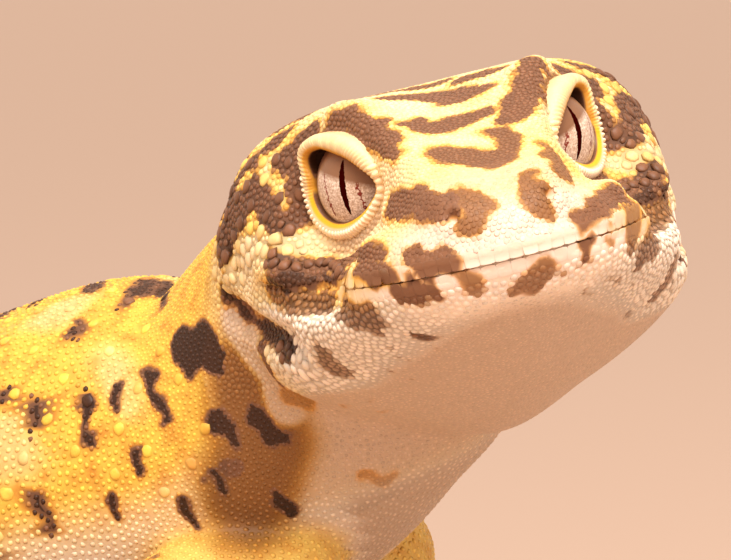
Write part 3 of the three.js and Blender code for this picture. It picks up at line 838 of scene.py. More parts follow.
STROKES_MIDDLE = [
    (0.82, [(-2.9, -15, 1.0), (-3.4, -3, 1.3), (-0.9, 5, 1.2), (0.3, 14, 0.8)]),  # bars across the crown
    (0.82, [(-4.7, 12, 0.9), (-2.8, 20, 0.9)]),
    (0.82, [(3.0, -18, 0.7), (3.8, -13, 1.0), (3.5, -1, 1.1), (3.4, 12, 0.6)]),
    (0.75, [(-6.8, -24, 0.6), (-7.4, -8, 0.9), (-7.0, 6, 0.7)]),
    (0.75, [(-10.4, -14, 0.9), (-10.8, 4, 1.0), (-10.2, 14, 0.7)]),
    (0.75, [(-14.0, -24, 0.9), (-14.6, 0, 1.1), (-14.0, 24, 0.9)]),
    (0.72, [(7.1, -20, 0.9), (8.5, -6, 1.1), (9.5, 8, 1.1),  # forehead
            (8.5, 20, 0.7), (6.8, 18, 0.5), (5.8, 11, 0.45)]),
    (0.6, [(12.5, -173, 0.5), (12.6, 166, 0.8), (13.2, 143, 0.7)]),
]
LIP_ROW = [  # large round tubercles on the hind lip's front, on the left
    (-2.5, 11.5, -3.3), (-1.6, 10.9, -3.6), (-1.2, 10.2, -3.9), (-1.1, 9.6, -3.9),
    (-0.7, 9.0, -3.8), (0.2, 8.4, -3.9), (1.7, 8.2, -4.3), (2.8, 8.2, -4.6),
]
EDGE_SOFTNESS = 0.16  # half the width of a blotch's soft edge


def chart_strokes():
    strokes = [(1, STROKES_MIDDLE), (1, STROKES_RIGHT), (1, STROKES_LEFT)]
    strokes += [(side, STROKES_BOTH_SIDES) for side in (-1, 1)]
    made = []
    for side, group in strokes:
        for power, line in group:
            made.append((power, [on_head(x, side * angle) for x, angle, _ in line], [w for *_, w in line]))
    for side in (-1, 1):
        made.append((0.9, from_head(LIP_ROW * np.array([1, side, 1])), 0.42))
    return made


head_strokes = chart_strokes()
print("strokes on the head:", len(head_strokes))

# %% Blotches on the body
#
# On the trunk the blotches are short upright dashes in loose rows; on the tail they gather into bands. Those on the
# right flank stand where this animal has them, and the rest are strewn by rule.
FLANK_SPOTS = [  # share of the run, angle and half-length in degrees, half-width in mm
    (0.231, -70, 9, 0.45),
    (0.213, -66, 3, 0.45),
    (0.181, -73, 9, 0.5),
    (0.206, -89, 3, 0.5),
    (0.225, -101, 3, 0.4),
    (0.194, -111, 4, 0.45),
    (0.178, -108, 3, 0.4),
    (0.241, -39, 2, 0.6),
    (0.222, -28, 2, 0.4),
    (0.163, -33, 5, 0.4),
    (0.151, -71, 5, 1.1),
    (0.145, -75, 5, 1.0),
    (0.138, -80, 6, 1.1),
    (0.160, -99, 4, 0.8),
    (0.145, -112, 5, 0.8),
    (0.168, -128, 4, 0.5),
    (0.253, -66, 6, 0.45),
    (0.256, -98, 5, 0.5),
    (0.266, -58, 2, 0.45),
]
rng = np.random.default_rng(7)


def body_strokes():
    made = []
    for t, angle, reach, width in FLANK_SPOTS:
        ends = [on_body(t, angle - reach), on_body(t, angle + reach)]
        made.append((1.0, ends, [width * 0.8, width]))
    t = 0.119
    while t < 0.66:
        for row in (12, 32, 52, 72, 92, 108):
            for side in (-1, 1):
                nape = t < 0.14 and row > 40
                if rng.random() < 0.22 or nape or (side < 0 and 20 < row and t < 0.275):
                    rng.random(4)
                    continue
                place, swing, reach, width = rng.random(4)
                centre = side * (row + 7 * (swing - 0.5))
                along = t + 0.016 * (place - 0.5)
                size = 0.45 + 0.55 * width
                half = (3 + 5 * reach) * (1.2 if row > 40 else 0.8)
                ends = [on_body(along, centre - half), on_body(along + 0.003, centre + half)]
                made.append((0.95, ends, [size * 0.8, size]))
        t += 0.021
    for band in range(7):
        t = 0.69 + 0.042 * band
        for k in range(9):
            angle = -115 + 230 * (k + rng.random() * 0.5) / 8.5
            width = (1.5 - 0.13 * band) * (0.6 + 0.6 * rng.random())
            ends = [on_body(t + 0.006 * rng.random(), angle), on_body(t, angle + 16)]
            made.append((0.9, ends, [width, width]))
    for limb in (FORELEG, HINDLEG):
        for side in (-1, 1):
            root, middle, end = limb_joints(limb, side)
            for a, b, count in ((root, middle, 5), (middle, end, 7)):
                for _ in range(count):
                    share, across, rise = rng.random(3)
                    probe = a + (b - a) * share + 8 * np.array([across - 0.5, side * 0.6, rise])
                    place = np.array(skin_tree.find_nearest(Vector(probe))[0])
                    made.append((0.9, [place], [0.4 + 0.5 * rng.random()]))
    return made


skin_strokes = head_strokes + body_strokes()
print("strokes in all:", len(skin_strokes))


# %% Fields of colour
WAVES = 14  # plane waves that are added up


def waves(points, size, seed):
    """A smooth random value from about -1 to 1 that changes over the given size in millimetres."""
    draw = np.random.default_rng(seed)
    direction = draw.normal(size=(WAVES, 3))
    length = np.linalg.norm(direction, axis=1)
    direction *= (draw.uniform(0.6, 1.4, WAVES) * 2 * math.pi / size / length)[:, None]
    phase = draw.uniform(0, 2 * math.pi, WAVES)
    return np.sin(points @ direction.T + phase).sum(axis=1) / math.sqrt(WAVES / 2) / 1.6


def body_place(points):
    """Nearest share of the middle line's run, and the angle round it from the back, left positive."""
    shares = np.linspace(0, 1, 161)
    at, left, up = spine_frame(shares)
    nearest = np.empty(len(points), dtype=int)
    for start in range(0, len(points), 20000):
        part = points[start : start + 20000]
        away = ((part[:, None] - at[None]) ** 2).sum(axis=2)
        nearest[start : start + 20000] = away.argmin(axis=1)
    offset = points - at[nearest]
    angle = np.degrees(np.arctan2((offset * left[nearest]).sum(axis=1), (offset * up[nearest]).sum(axis=1)))
    return shares[nearest], angle


def blotches(points):
    """How dark the strokes make each point, and how near a blotch is, for its golden rim."""
    warped = points + 0.22 * np.stack([waves(points, 1.6, 20 + k) for k in range(3)], axis=1)
    dark, cleared, glow = np.zeros((3, len(points)))
    for power, line, widths in skin_strokes:
        line = np.asarray(line)
        low, high = line.min(axis=0) - 3, line.max(axis=0) + 3
        near = np.nonzero(((warped > low) & (warped < high)).all(axis=1))[0]
        if not len(near):
            continue
        away = line_distance(warped[near], line, widths)
        share = abs(power) * ramp(-away, -EDGE_SOFTNESS - 0.12, EDGE_SOFTNESS)
        if power > 0:
            dark[near] = np.maximum(dark[near], share)
            glow[near] = np.maximum(glow[near], ramp(-away, -0.75, 0.05))
        else:
            cleared[near] = np.maximum(cleared[near], share)
    return dark * (1 - cleared), glow


def towards(turned, middle, low, high):
    """1 near a direction round the lids' opening, falling to 0 where it is further off."""
    return ramp(-np.abs(np.mod(turned, 360) - middle), low, high)


def colour_fields(points):
    """Dark, warm, pale, tan and rust shares from 0 to 1 at points of the row's frame, painted shade among them
    round the eyes, on the shoulder and on the muzzle.
    """
    dark, glow = blotches(points)
    local, x, out, z, mirrored = head_parts(points)
    is_head = head_share(x, out, z)
    share, angle = body_place(points)
    under = ramp(np.abs(angle), 92, 128)
    body_warm = (1 - 0.85 * under) * (1 - ramp(share, 0.64, 0.72) * 0.75)
    body_warm *= 1 - 0.5 * ramp(waves(points, 8.0, 31), 0.1, 1.0) * ramp(share, 0.17, 0.22)
    snout = ramp(x, 5.5, 9) * ramp(z, -3.6, -1.6)
    head_warm = 0.16 + 0.28 * snout + 0.15 * waves(points, 4.0, 5)
    head_warm = np.maximum(head_warm, 0.8 * glow * ramp(x, -16, -12))
    warm = np.clip(is_head * head_warm + (1 - is_head) * body_warm, 0, 1)
    above_mouth = z - mouth_line(x)
    front = ramp(x, 9.5, 12.5) * ramp(-z, 1.8, 3.4)
    lower_lip = ramp(-above_mouth, 0.0, 0.3) * ramp(above_mouth, -1.9, -1.2) * ramp(x, 6, 11)
    pale = np.clip(np.maximum(front, lower_lip) * is_head, 0, 1)
    pale = np.maximum(pale, (1 - is_head) * under * 0.9)
    past = past_throat_edge(x, z)
    tan = ramp(past, -0.15, 0.45) * is_head
    cheek = ramp(-above_mouth, 0.9, 1.7) * is_head * ramp(x, -9, -3)
    pale = np.maximum(pale, 0.85 * cheek)
    tan = np.maximum(tan, 0.7 * cheek * ramp(dark, 0.2, 0.5))
    tan = np.maximum(tan, 0.6 * ramp(x, 8.5, 12) * ramp(above_mouth, 0.0, 0.5) * is_head)  # the muzzle's tan blush, which is also painted shade on the snout's front above the mouth
    warm = warm * (1 - 0.8 * cheek)
    ruddy = ramp(x, 8, 10) * is_head * ramp(dark, 0.2, 0.5)  # the snout's browns
    ruddy *= 0.5 + 0.5 * ramp(z, -4.6, -3.6)
    warm = np.maximum(warm, ruddy)
    neck_folds = [(-11.6, 13.4, -6.5), (-10.4, 12.9, -8.5), (-9.8, 12.3, -10.1), (-10.7, 11.9, -12.0)]
    fold = bump(np.maximum(line_distance(mirrored, neck_folds) - 0.9, 0), 0.8) * (x < -8.5)
    tan = np.maximum(tan, fold)
    bib = np.interp(share, [0.10, 0.125, 0.15, 0.175], [95, 115, 138, 170])  # where the throat's colour ends
    tan = np.maximum(tan, (1 - is_head) * ramp(np.abs(angle) - bib, -8, 8) * (share < 0.2))
    design = (points - DESIGN_SHIFT) * np.where(points[:, 1:2] < 0, [1, -1, 1], 1)
    shoulder = [(5.6, 11.3, 26.6), (6.4, 10.2, 23.0), (5.0, 10.0, 19.4)]
    shoulder_orange_and_shadow = bump(np.maximum(line_distance(design, shoulder) - 1.5, 0), 3.0)  # the shoulder's deep orange, with painted shadow from the head
    shoulder_orange_and_shadow *= 1 - 0.9 * fold
    rust = np.maximum(0.85 * shoulder_orange_and_shadow, 0.6 * ruddy)
    # painted shadow that the head casts on the shoulder
    dark = np.maximum(dark, 0.52 * shoulder_orange_and_shadow)
    warm = np.maximum(warm, shoulder_orange_and_shadow)
    pale *= 1 - shoulder_orange_and_shadow
    tan *= 1 - shoulder_orange_and_shadow
    limb = np.zeros(len(points))
    for leg in (FORELEG, HINDLEG):
        limb = np.maximum(limb, bump(np.maximum(line_distance(design, leg["joints"]) - 4, 0), 2.5))
    limb *= (1 - is_head) * (1 - tan)
    warm = np.maximum(warm, 0.85 * limb)
    pale *= 1 - limb
    for side in (1, -1):
        radial, turned, over = round_lid(local, side)
        reach = round_turn(LID_REACH, turned)
        near_lid = (np.abs(over) < 3.5) * (local[:, 1] * side > 0)
        # painted shade: the pit between the lid and the eyeball is darkened, save its front corner, which is orange
        pit = ramp(reach - 0.2 - radial, 0, 0.2) * near_lid
        front = towards(turned, 185, -45, -25)
        dark = np.maximum(dark, pit * (1 - 0.62 * front))
        warm = np.maximum(warm, pit * front)
        beyond = radial - reach - round_turn(LID_ROLL, turned)
        by_rim = near_lid * (beyond > -0.4)
        # painted shade in the hollow under the lower lid, in tan and brown
        shaded = bump(beyond - 0.4, 0.9) * towards(turned, 245, -62, -35) * by_rim
        tan = np.maximum(tan, 0.75 * shaded)
        dark = np.maximum(dark, 0.36 * shaded)
        # painted shade along the crease between the upper lid and the brow's pad, with the orange-brown the skin
        # has there
        crease = bump(beyond - 0.05, 0.34) * towards(turned, 105, -60, -40) * by_rim
        dark = np.maximum(dark, 0.5 * crease)
        rust = np.maximum(rust, crease)
    return {"dark": dark, "warm": warm, "pale": pale, "tan": tan, "rust": rust}


# %% [markdown]
# ## Where the scales lie
#
# Granules cover the whole skin, with larger tubercles among them, and polygons on the cheeks. Points are scattered
# on the skin by a Geometry Nodes tree, in classes of spacing, and pushed apart until they are even. The cell round
# each point, up to halfway to its neighbours, is then the outline of one scale.

# %% Spacing of the scales
TUBERCLE_LINES = [  # half the spacing and the reach round the line, on the left; the right mirrors it
    (0.52, 1.5, [(-9.3, 12.9, -3.0), (-6.1, 12.1, -2.2), (-2.5, 10.9, -2.3), (0.6, 9.7, -2.5)]),
    (0.40, 1.3, [(-1.0, 11.6, -8.6), (-2.4, 10.8, -10.4), (-4.5, 11.8, -8.5)]),
]


def scale_radius(points):
    """Half the spacing of the small scales at points of the row's frame."""
    _, x, out, z, mirrored = head_parts(points)
    share, angle = body_place(points)
    is_head = head_share(x, out, z)
    head = 0.155 + 0.045 * ramp(-x, -9, 4) + 0.03 * ramp(-x, 4, 12)
    above_mouth = z - mouth_line(x)
    jaw = ramp(-above_mouth, 0.3, 0.8) * ramp(x, -8, -4)
    head = head + jaw * 0.075
    throat = ramp(past_throat_edge(x, z), -0.1, 0.5)
    head = head * (1 - throat) + 0.15 * throat
    folds = ramp(-x, 8.5, 10.5) * ramp(-z, 4.5, 6.5)
    head = head * (1 - folds) + 0.18 * folds
    for radius, reach, line in TUBERCLE_LINES:
        near = ramp(-line_distance(mirrored, line), -reach, -reach * 0.55)
        head = head * (1 - near) + radius * near
    body = 0.275 + 0.05 * ramp(np.abs(angle), 105, 130)
    body = body - 0.09 * ramp(-share, -0.26, -0.17)
    low = ramp(-points[:, 2], -5, -1.5) * (share < 0.62)
    body = body * (1 - 0.25 * low)
    body = body * (1 - 0.25 * ramp(share, 0.88, 1.0))
    return is_head * head + (1 - is_head) * body


def before_nape(x, out, z, nape):
    """Which points belong to the head, in front of the nape's given place."""
    return (x > nape) & (out < HEAD_HALF) & (z > HEAD_LOW)


def evenness(points, radius):
    """How alike a scale's rim and its crown are in painted light and shade: fine granules hardly show one by one.
    """
    _, x, out, z, _ = head_parts(points)
    head = 0.8 - 0.6 * ramp(radius, 0.17, 0.25)
    lips = bump(z - mouth_line(x), 1.2) * ramp(x, 1, 5)
    lips = np.maximum(lips, ramp(x, 8.5, 11))
    return np.where(before_nape(x, out, z, -14), head + (0.93 - head) * lips, 0.5)


def write_numbers(name, numbers):
    """A whole number on each face of the skin, for the trees to select by."""
    skin_mesh.attributes.new(name, "INT", "FACE").data.foreach_set("value", numbers.astype(np.int32))


skin_at = mesh_points(skin_mesh)
skin_mesh.calc_loop_triangles()
skin_triangles = mesh_triangles(skin_mesh)
face_at = skin_at[skin_triangles].mean(axis=1)
RADIUS_STEP = 1.13  # each class of spacing is this much wider than the one before
SMALLEST = 0.145  # radius of the smallest class
face_class = np.round(np.log(scale_radius(face_at) / SMALLEST) / math.log(RADIUS_STEP)).astype(np.int32)
write_numbers("spacing_class", face_class)
print("classes of spacing:", np.unique(face_class))

# %% Tubercles among the granules
TUBERCLE_APART = 2.3  # between the trunk's tubercles
TUBERCLE_RADIUS = 0.40
TEMPLE_APART = 1.2
TEMPLE_RADIUS = 0.44


def tubercle_zone(points):
    """1 where the body's tubercles stand, 2 on the temples and the jaw's corner, 0 elsewhere."""
    _, x, out, z, mirrored = head_parts(points)
    share, angle = body_place(points)
    near_head = before_nape(x, out, z, -15)
    body = ~near_head & (share > 0.16) & (np.abs(angle) < 102) & (points[:, 2] > 4)
    body |= ~near_head & (share >= 0.64) & (share < 0.93) & (np.abs(angle) < 100)
    temple = line_distance(mirrored, [(-3.6, 9.6, 0.6), (-8.5, 11.8, 0.4), (-10.5, 13.0, -3.0)]) < 2.6
    corner = line_distance(mirrored, [(-1.0, 11.6, -8.6), (-6.0, 12.2, -8.8)]) < 1.7
    zone = np.where(body, 1, 0)
    zone = np.where(near_head & (temple | corner) & (x < -2.4), 2, zone)
    return zone


write_numbers("tubercle_zone", tubercle_zone(face_at))


# %% Nodes
def set_inputs(tree, sockets, values):
    """Links or sets a node's inputs, found by name or by number."""
    for key, value in values.items():
        if isinstance(value, bpy.types.NodeSocket):
            tree.links.new(value, sockets[key])
        else:
            sockets[key].default_value = value


def add_node(tree, kind, inputs, **settings):
    node = tree.nodes.new(kind)
    for name, value in settings.items():
        setattr(node, name, value)
    set_inputs(tree, node.inputs, inputs)
    return node


def new_tree(name, kind, inputs, outputs):
    """A node tree, the sockets of what it is given and those of its results, from their names and kinds."""
    tree = bpy.data.node_groups.new(name, kind)
    for way, sockets in (("INPUT", inputs), ("OUTPUT", outputs)):
        for socket, holds in sockets.items():
            tree.interface.new_socket(socket, in_out=way, socket_type="NodeSocket" + holds)
    given = tree.nodes.new("NodeGroupInput").outputs
    return tree, given, tree.nodes.new("NodeGroupOutput").inputs


def run_tree(mesh, tree, values):
    """The mesh that a tree makes from another, with the values on its inputs by name."""
    carrier = in_scene("carrier", mesh)
    modifier = carrier.modifiers.new("tree", "NODES")
    modifier.node_group = tree
    for item in tree.interface.items_tree:
        if item.name in values:
            modifier[item.identifier] = values[item.name]
    return evaluated_mesh(carrier)


# %% Scatter tree
CANDIDATES = 6.0  # for each square of the spacing


def scatter_tree():
    """Points on the faces whose named number is the class, no nearer to each other than the spacing."""
    inputs = {"Geometry": "Geometry", "Field": "String", "Class": "Int", "Spacing": "Float", "Seed": "Int"}
    tree, given, result = new_tree("Scatter scales", "GeometryNodeTree", inputs, {"Geometry": "Geometry"})
    named = add_node(tree, "GeometryNodeInputNamedAttribute", {"Name": given["Field"]}, data_type="INT")
    pair = {2: named.outputs["Attribute"], 3: given["Class"]}
    same = add_node(tree, "FunctionNodeCompare", pair, data_type="INT", operation="EQUAL")
    area = add_node(tree, "ShaderNodeMath", {0: given["Spacing"], 1: -2.0}, operation="POWER")
    many = add_node(tree, "ShaderNodeMath", {0: area.outputs[0], 1: CANDIDATES}, operation="MULTIPLY")
    spread = {
        "Mesh": given["Geometry"],
        "Selection": same.outputs[0],
        "Distance Min": given["Spacing"],
        "Density Max": many.outputs[0],
        "Seed": given["Seed"],
    }
    points = add_node(tree, "GeometryNodeDistributePointsOnFaces", spread, distribute_method="POISSON")
    solid = add_node(tree, "GeometryNodePointsToVertices", {"Points": points.outputs["Points"]})
    set_inputs(tree, result, {"Geometry": solid.outputs["Mesh"]})
    return tree


def scatter(named, number, spacing, seed):
    """Places spread over the skin's faces whose named number is the one given."""
    values = {"Field": named, "Class": int(number), "Spacing": float(spacing), "Seed": int(seed)}
    made = run_tree(skin_mesh, scales_tree, values)
    points = mesh_points(made)
    bpy.data.meshes.remove(made)
    return points


def add_roots(points, radius, kind):
    """Places of new scales; the kinds are 0 granule, 1 body tubercle, 2 temple tubercle, 3 lip plate, 4 lip row."""
    roots.append(points)
    radii.append(np.full(len(points), radius))
    kinds.append(np.full(len(points), kind))


scales_tree = scatter_tree()
roots, radii, kinds = [], [], []
for zone, apart, radius in ((1, TUBERCLE_APART, TUBERCLE_RADIUS), (2, TEMPLE_APART, TEMPLE_RADIUS)):
    add_roots(scatter("tubercle_zone", zone, apart, 40 + zone), radius, zone)
print("tubercles:", len(roots[0]), len(roots[1]))

# %% Labials
LIP_STEP = 0.80  # width of one lip plate
LIP_ROW_RADIUS = 0.39  # of the round tubercles on the hind lip
LIP_RADIUS = 0.40
LIP_HALF = np.array([0.45, 0.47])  # half the length and height of a lip plate


def lip_line(offset):
    """A fine line on the skin that runs along the mouth from right to left, above or below it."""
    places = []
    for a in np.radians(np.arange(-126, 126.5, 1.0)):
        z = mouth_line(8.0) + offset
        for _ in range(3):
            hit = ray_to_skin(from_head((2.0, 0, z)), HEAD_TURN @ heading_vector(a))
            z = mouth_line(to_head(hit)[0]) + offset
        places.append(hit)
    return np.array(places)


def evenly(line, step):
    """Points a step apart along a line, one of them at its middle."""
    run = np.concatenate([[0], np.cumsum(np.linalg.norm(np.diff(line, axis=0), axis=1))])
    middle = run[-1] / 2
    count = int(middle / step)
    at = middle + step * np.arange(-count, count + 1)
    return np.stack([np.interp(at, run, line[:, k]) for k in range(3)], axis=1)


for offset, behind in ((0.45, 4.2), (-0.46, 3.2)):
    points = evenly(lip_line(offset), LIP_STEP)
    add_roots(points[to_head(points)[:, 0] > behind], LIP_RADIUS, 3)
print("lip plates:", len(roots[-1]) + len(roots[-2]))
for side in (1, -1):
    row = evenly(from_head(LIP_ROW * np.array([1, side, 1])), 2 * LIP_ROW_RADIUS)
    add_roots(nearest_on(skin_tree, row)[0], LIP_ROW_RADIUS, 4)

# %% Granules
def kd_tree(points):
    """Points, ready to be asked which of them are nearest."""
    tree = KDTree(len(points))
    for i, p in enumerate(points.tolist()):
        tree.insert(p, i)
    tree.balance()
    return tree


for number in np.unique(face_class):
    radius = SMALLEST * RADIUS_STEP**number
    add_roots(scatter("spacing_class", number, radius * 1.5, 11 + number), radius, 0)
roots, radii, kinds = (np.concatenate(parts) for parts in (roots, radii, kinds))
big = np.nonzero(kinds > 0)[0]
big_tree = kd_tree(roots[big])
keep = kinds > 0
for i in np.nonzero(kinds == 0)[0]:
    _, other, away = big_tree.find(roots[i])
    keep[i] = away > radii[big[other]] + 0.45 * radii[i]
roots, radii, kinds = roots[keep], radii[keep], kinds[keep]
print("scale roots:", len(roots))

# %% Fill the holes among the larger scales
FILL_RADIUS = 0.15
COARSE_OVER = 0.24  # larger scales than this leave holes that granules fill

write_numbers("coarse_scales", scale_radius(face_at) > COARSE_OVER)
fillers = scatter("coarse_scales", 1, 2 * FILL_RADIUS, 90)
fillers = fillers[to_head(fillers)[:, 0] > -15]
root_tree = kd_tree(roots)
room = [min(away - radii[i] for _, i, away in root_tree.find_n(p, 5)) for p in fillers.tolist()]
fillers = fillers[np.array(room) > 0.6 * FILL_RADIUS]
roots = np.concatenate([roots, fillers])
radii = np.concatenate([radii, np.full(len(fillers), FILL_RADIUS)])
kinds = np.concatenate([kinds, np.zeros(len(fillers), dtype=int)])
print("holes filled:", len(fillers))


# %% Even out the roots
def neighbours(points, count):
    """Indices of and distances to each point's nearest others."""
    tree = kd_tree(points)
    found = np.empty((len(points), count), dtype=np.int32)
    away = np.empty((len(points), count))
    for i, p in enumerate(points.tolist()):
        near = tree.find_n(p, count + 1)[1:]
        found[i] = [n[1] for n in near]
        away[i] = [n[2] for n in near]
    return found, away


RELAX_STEPS = 4
for step in range(RELAX_STEPS):
    near, away = neighbours(roots, 7)
    wanted = (radii[:, None] + radii[near]) * 1.02
    short = np.clip(wanted - away, 0, None)
    apart = (roots[:, None] - roots[near]) / np.maximum(away, 1e-4)[..., None]
    share = (radii[near] ** 2) / (radii[:, None] ** 2 + radii[near] ** 2)
    moved = 0.45 * (apart * (short * share)[..., None]).sum(axis=1)
    moved[kinds >= 3] = 0
    roots, root_face = nearest_on(skin_tree, roots + moved)
near, away = neighbours(roots, 1)
crowded = (away[:, 0] < 0.6 * (radii + radii[near[:, 0]])) & (kinds == 0)
crowded &= (radii < radii[near[:, 0]]) | (np.arange(len(roots)) < near[:, 0])
roots, radii, kinds, root_face = (a[~crowded] for a in (roots, radii, kinds, root_face))
print("even roots:", len(roots))

# %% Keep the lids, nostrils and soles clear
face_normal = mesh_array(skin_mesh.polygons, "normal", 3)
root_local = to_head(roots)
keep = (roots[:, 2] > 0.25) | (face_normal[root_face][:, 2] > -0.5)
for side in (1, -1):
    radial, angle, over = round_lid(root_local, side)
    rim = round_turn(LID_REACH, angle) + 0.7 * round_turn(LID_ROLL, angle)
    keep &= (radial > rim) | (np.abs(over) > 4) | (root_local[:, 1] * side < 0)
    keep &= np.linalg.norm(root_local - NOSTRIL * [1, side, 1], axis=1) > 0.42
hind_mouth = (root_local[:, 0] > -5) & (root_local[:, 0] < 4.4) & (kinds == 0)
keep &= ~(hind_mouth & (np.abs(root_local[:, 2] - mouth_line(root_local[:, 0])) < 0.14))
roots, radii, kinds, root_face = (a[keep] for a in (roots, radii, kinds, root_face))
print("kept roots:", len(roots))


# %% Cells round the roots
def cell_outlines(pick, sides):
    """How far each picked scale reaches in even directions, up to the border with its neighbours."""
    at, radius, normal = roots[pick], radii[pick], root_normal[pick]
    side_axis = unit(np.cross(normal, [0.31, 0.17, 0.93]))
    other_axis = np.cross(normal, side_axis)
    turns = even_turns(sides)
    step = roots[near[pick]] - at[:, None]
    flat = np.stack([(step * side_axis[:, None]).sum(-1), (step * other_axis[:, None]).sum(-1)], axis=-1)
    gap = np.maximum(np.linalg.norm(flat, axis=-1), 1e-4)
    border = gap * radius[:, None] / (radius[:, None] + radii[near[pick]])
    way = np.stack([np.cos(turns), np.sin(turns)], axis=-1)
    towards = (flat[:, :, None] / gap[:, :, None, None] * way[None, None]).sum(-1)
    reach = np.where(towards > 0.25, border[:, :, None] / np.maximum(towards, 0.25), 9.0).min(axis=1)
    reach = np.minimum(reach, np.where(radius > 0.36, 1.6, 1.25)[:, None] * radius[:, None])
    return reach, side_axis, other_axis, turns


def plate_outlines(pick, sides):
    """The outlines of the lip's plates: rectangles that stand side by side along the mouth."""
    upright = np.broadcast_to(HEAD_TURN[:, 2], root_normal[pick].shape)
    along = unit(np.cross(upright, root_normal[pick]))
    turns = even_turns(sides)
    way = np.maximum(np.abs(np.stack([np.cos(turns), np.sin(turns)])), 1e-3)
    reach = (LIP_HALF[:, None] / way).min(axis=0) * np.where(np.isclose(way[0], way[1]), 0.93, 1.0)
    return np.tile(reach, (len(along), 1)), along, np.cross(root_normal[pick], along), turns


near, away = neighbours(roots, 8)
root_normal = unit(face_normal[root_face] + face_normal[root_face[near]].mean(axis=1))
root_fields = colour_fields(roots)
crisp = (radii > 0.3) & (to_head(roots)[:, 0] > -14)  # a large scale of the face is all one colour
own = root_fields["dark"][crisp]
root_fields["dark"][crisp] = np.where(own > 0.86, own, 0.85 * ramp(own, 0.3, 0.5))
root_even = np.where(kinds == 3, 1.0, evenness(roots, radii))
root_share, root_angle = body_place(roots)
rng = np.random.default_rng(19)
root_tint = rng.random(len(roots))
print("tubercle-sized scales:", int((radii > 0.38).sum()))

# %% Unwrap the skin's shape for the bake
proxy = skin_mesh.copy()
proxy_object = in_scene("proxy", proxy)
thin = proxy_object.modifiers.new("thin", "DECIMATE")
thin.ratio = 0.05
unwrapped = evaluated_mesh(proxy_object)
bpy.data.meshes.remove(proxy)
unwrapped_object = in_scene("unwrapped", unwrapped)
bpy.context.view_layer.objects.active = unwrapped_object
bpy.ops.object.mode_set(mode="EDIT")
bpy.ops.mesh.select_all(action="SELECT")
bpy.ops.uv.smart_project(angle_limit=math.radians(66), island_margin=0.002)
bpy.ops.object.mode_set(mode="OBJECT")
unwrapped.calc_loop_triangles()
unwrap_tree = surface_tree(unwrapped)
unwrap_at = mesh_points(unwrapped)
unwrap_corner = mesh_triangles(unwrapped)
unwrap_loop = mesh_array(unwrapped.loop_triangles, "loops", 3, np.int32)
unwrap_uv = mesh_array(unwrapped.uv_layers.active.data, "uv", 2)


def skin_uv(points):
    """Where points near the skin fall on the unwrap of the skin's shape."""
    placed, face = nearest_on(unwrap_tree, points)
    a, b, c = (unwrap_at[unwrap_corner[face, k]] for k in range(3))
    normal = np.cross(b - a, c - a)
    size = np.maximum((normal**2).sum(axis=1), 1e-12)
    shares = [
        (np.cross(c - b, placed - b) * normal).sum(axis=1) / size,
        (np.cross(a - c, placed - c) * normal).sum(axis=1) / size,
    ]
    shares.append(1 - shares[0] - shares[1])
    return sum(s[:, None] * unwrap_uv[unwrap_loop[face, k]] for k, s in enumerate(shares))


print("unwrap triangles:", len(unwrapped.loop_triangles))

# %% [markdown]
# ## Building the scales
#
# Every scale is a small closed dome: its cell's outline just under the skin, one or two narrower rings, and a
# crown that leans back along the body. The domes of a region are joined into one mesh by array arithmetic, which
# is quick even for tens of thousands of them.

# %% Domes
PATCH = 0.003  # width of one scale's patch on the bake map
SUNK = 0.05  # the most that a scale's rim is under the skin
LIP_GAP = 0.02  # from the mouth's line to the lip plates


def write_fields(mesh, fields):
    for name, values in fields.items():
        layer = mesh.attributes.new(name, "FLOAT", "POINT")
        layer.data.foreach_set("value", values.astype(np.float32))


def clear_of_mouth(points, at):
    """Keeps each scale near the mouth on its own side of the closed lips."""
    local, root = to_head(points.reshape(-1, 3)), to_head(at)
    above = root[:, 2] - mouth_line(root[:, 0])
    upper = np.repeat(above > 0, points.shape[1])
    beside = np.repeat((root[:, 0] > MOUTH_CORNER[0]) & (np.abs(above) < 1.2), points.shape[1])
    line = mouth_line(local[:, 0])
    local[:, 2] = np.where(beside & upper, np.maximum(local[:, 2], line + LIP_GAP), local[:, 2])
    local[:, 2] = np.where(beside & ~upper, np.minimum(local[:, 2], line - LIP_GAP), local[:, 2])
    return from_head(local).reshape(points.shape)


def bend_plates(points, lifts, normal):
    """Lip plates bend with the skin under them; lifts tells how far each point is over the flat of its plate."""
    up = np.repeat(normal, points.shape[1], axis=0)
    under = points.reshape(-1, 3) - lifts.reshape(-1, 1) * up
    bend = np.clip(((nearest_on(skin_tree, under)[0] - under) * up).sum(axis=1), -0.08, 0.12)
    near = to_head(under)
    bend *= ramp(np.abs(near[:, 2] - mouth_line(near[:, 0])), 0.4, 0.9)
    return points + (bend[:, None] * up).reshape(points.shape)


def dome_faces(count, rings, sides):
    """The corners of every face of a number of domes, and the faces' sizes: a crown, bands and a base."""
    ring = np.arange(sides)
    after = (ring + 1) % sides
    faces = [np.stack([np.zeros(sides, int), 1 + ring, 1 + after], axis=1)]
    for k in range(rings - 1):
        a, b = 1 + k * sides, 1 + (k + 1) * sides
        faces.append(np.stack([a + ring, b + ring, b + after, a + after], axis=1))
    faces.append((1 + (rings - 1) * sides + ring[::-1])[None])
    sizes = np.concatenate([np.full(len(f), f.shape[1]) for f in faces])
    corners = np.concatenate([f.ravel() for f in faces])
    base = np.arange(count)[:, None] * (1 + rings * sides)
    return (corners[None] + base).ravel().astype(np.int32), np.tile(sizes, count)


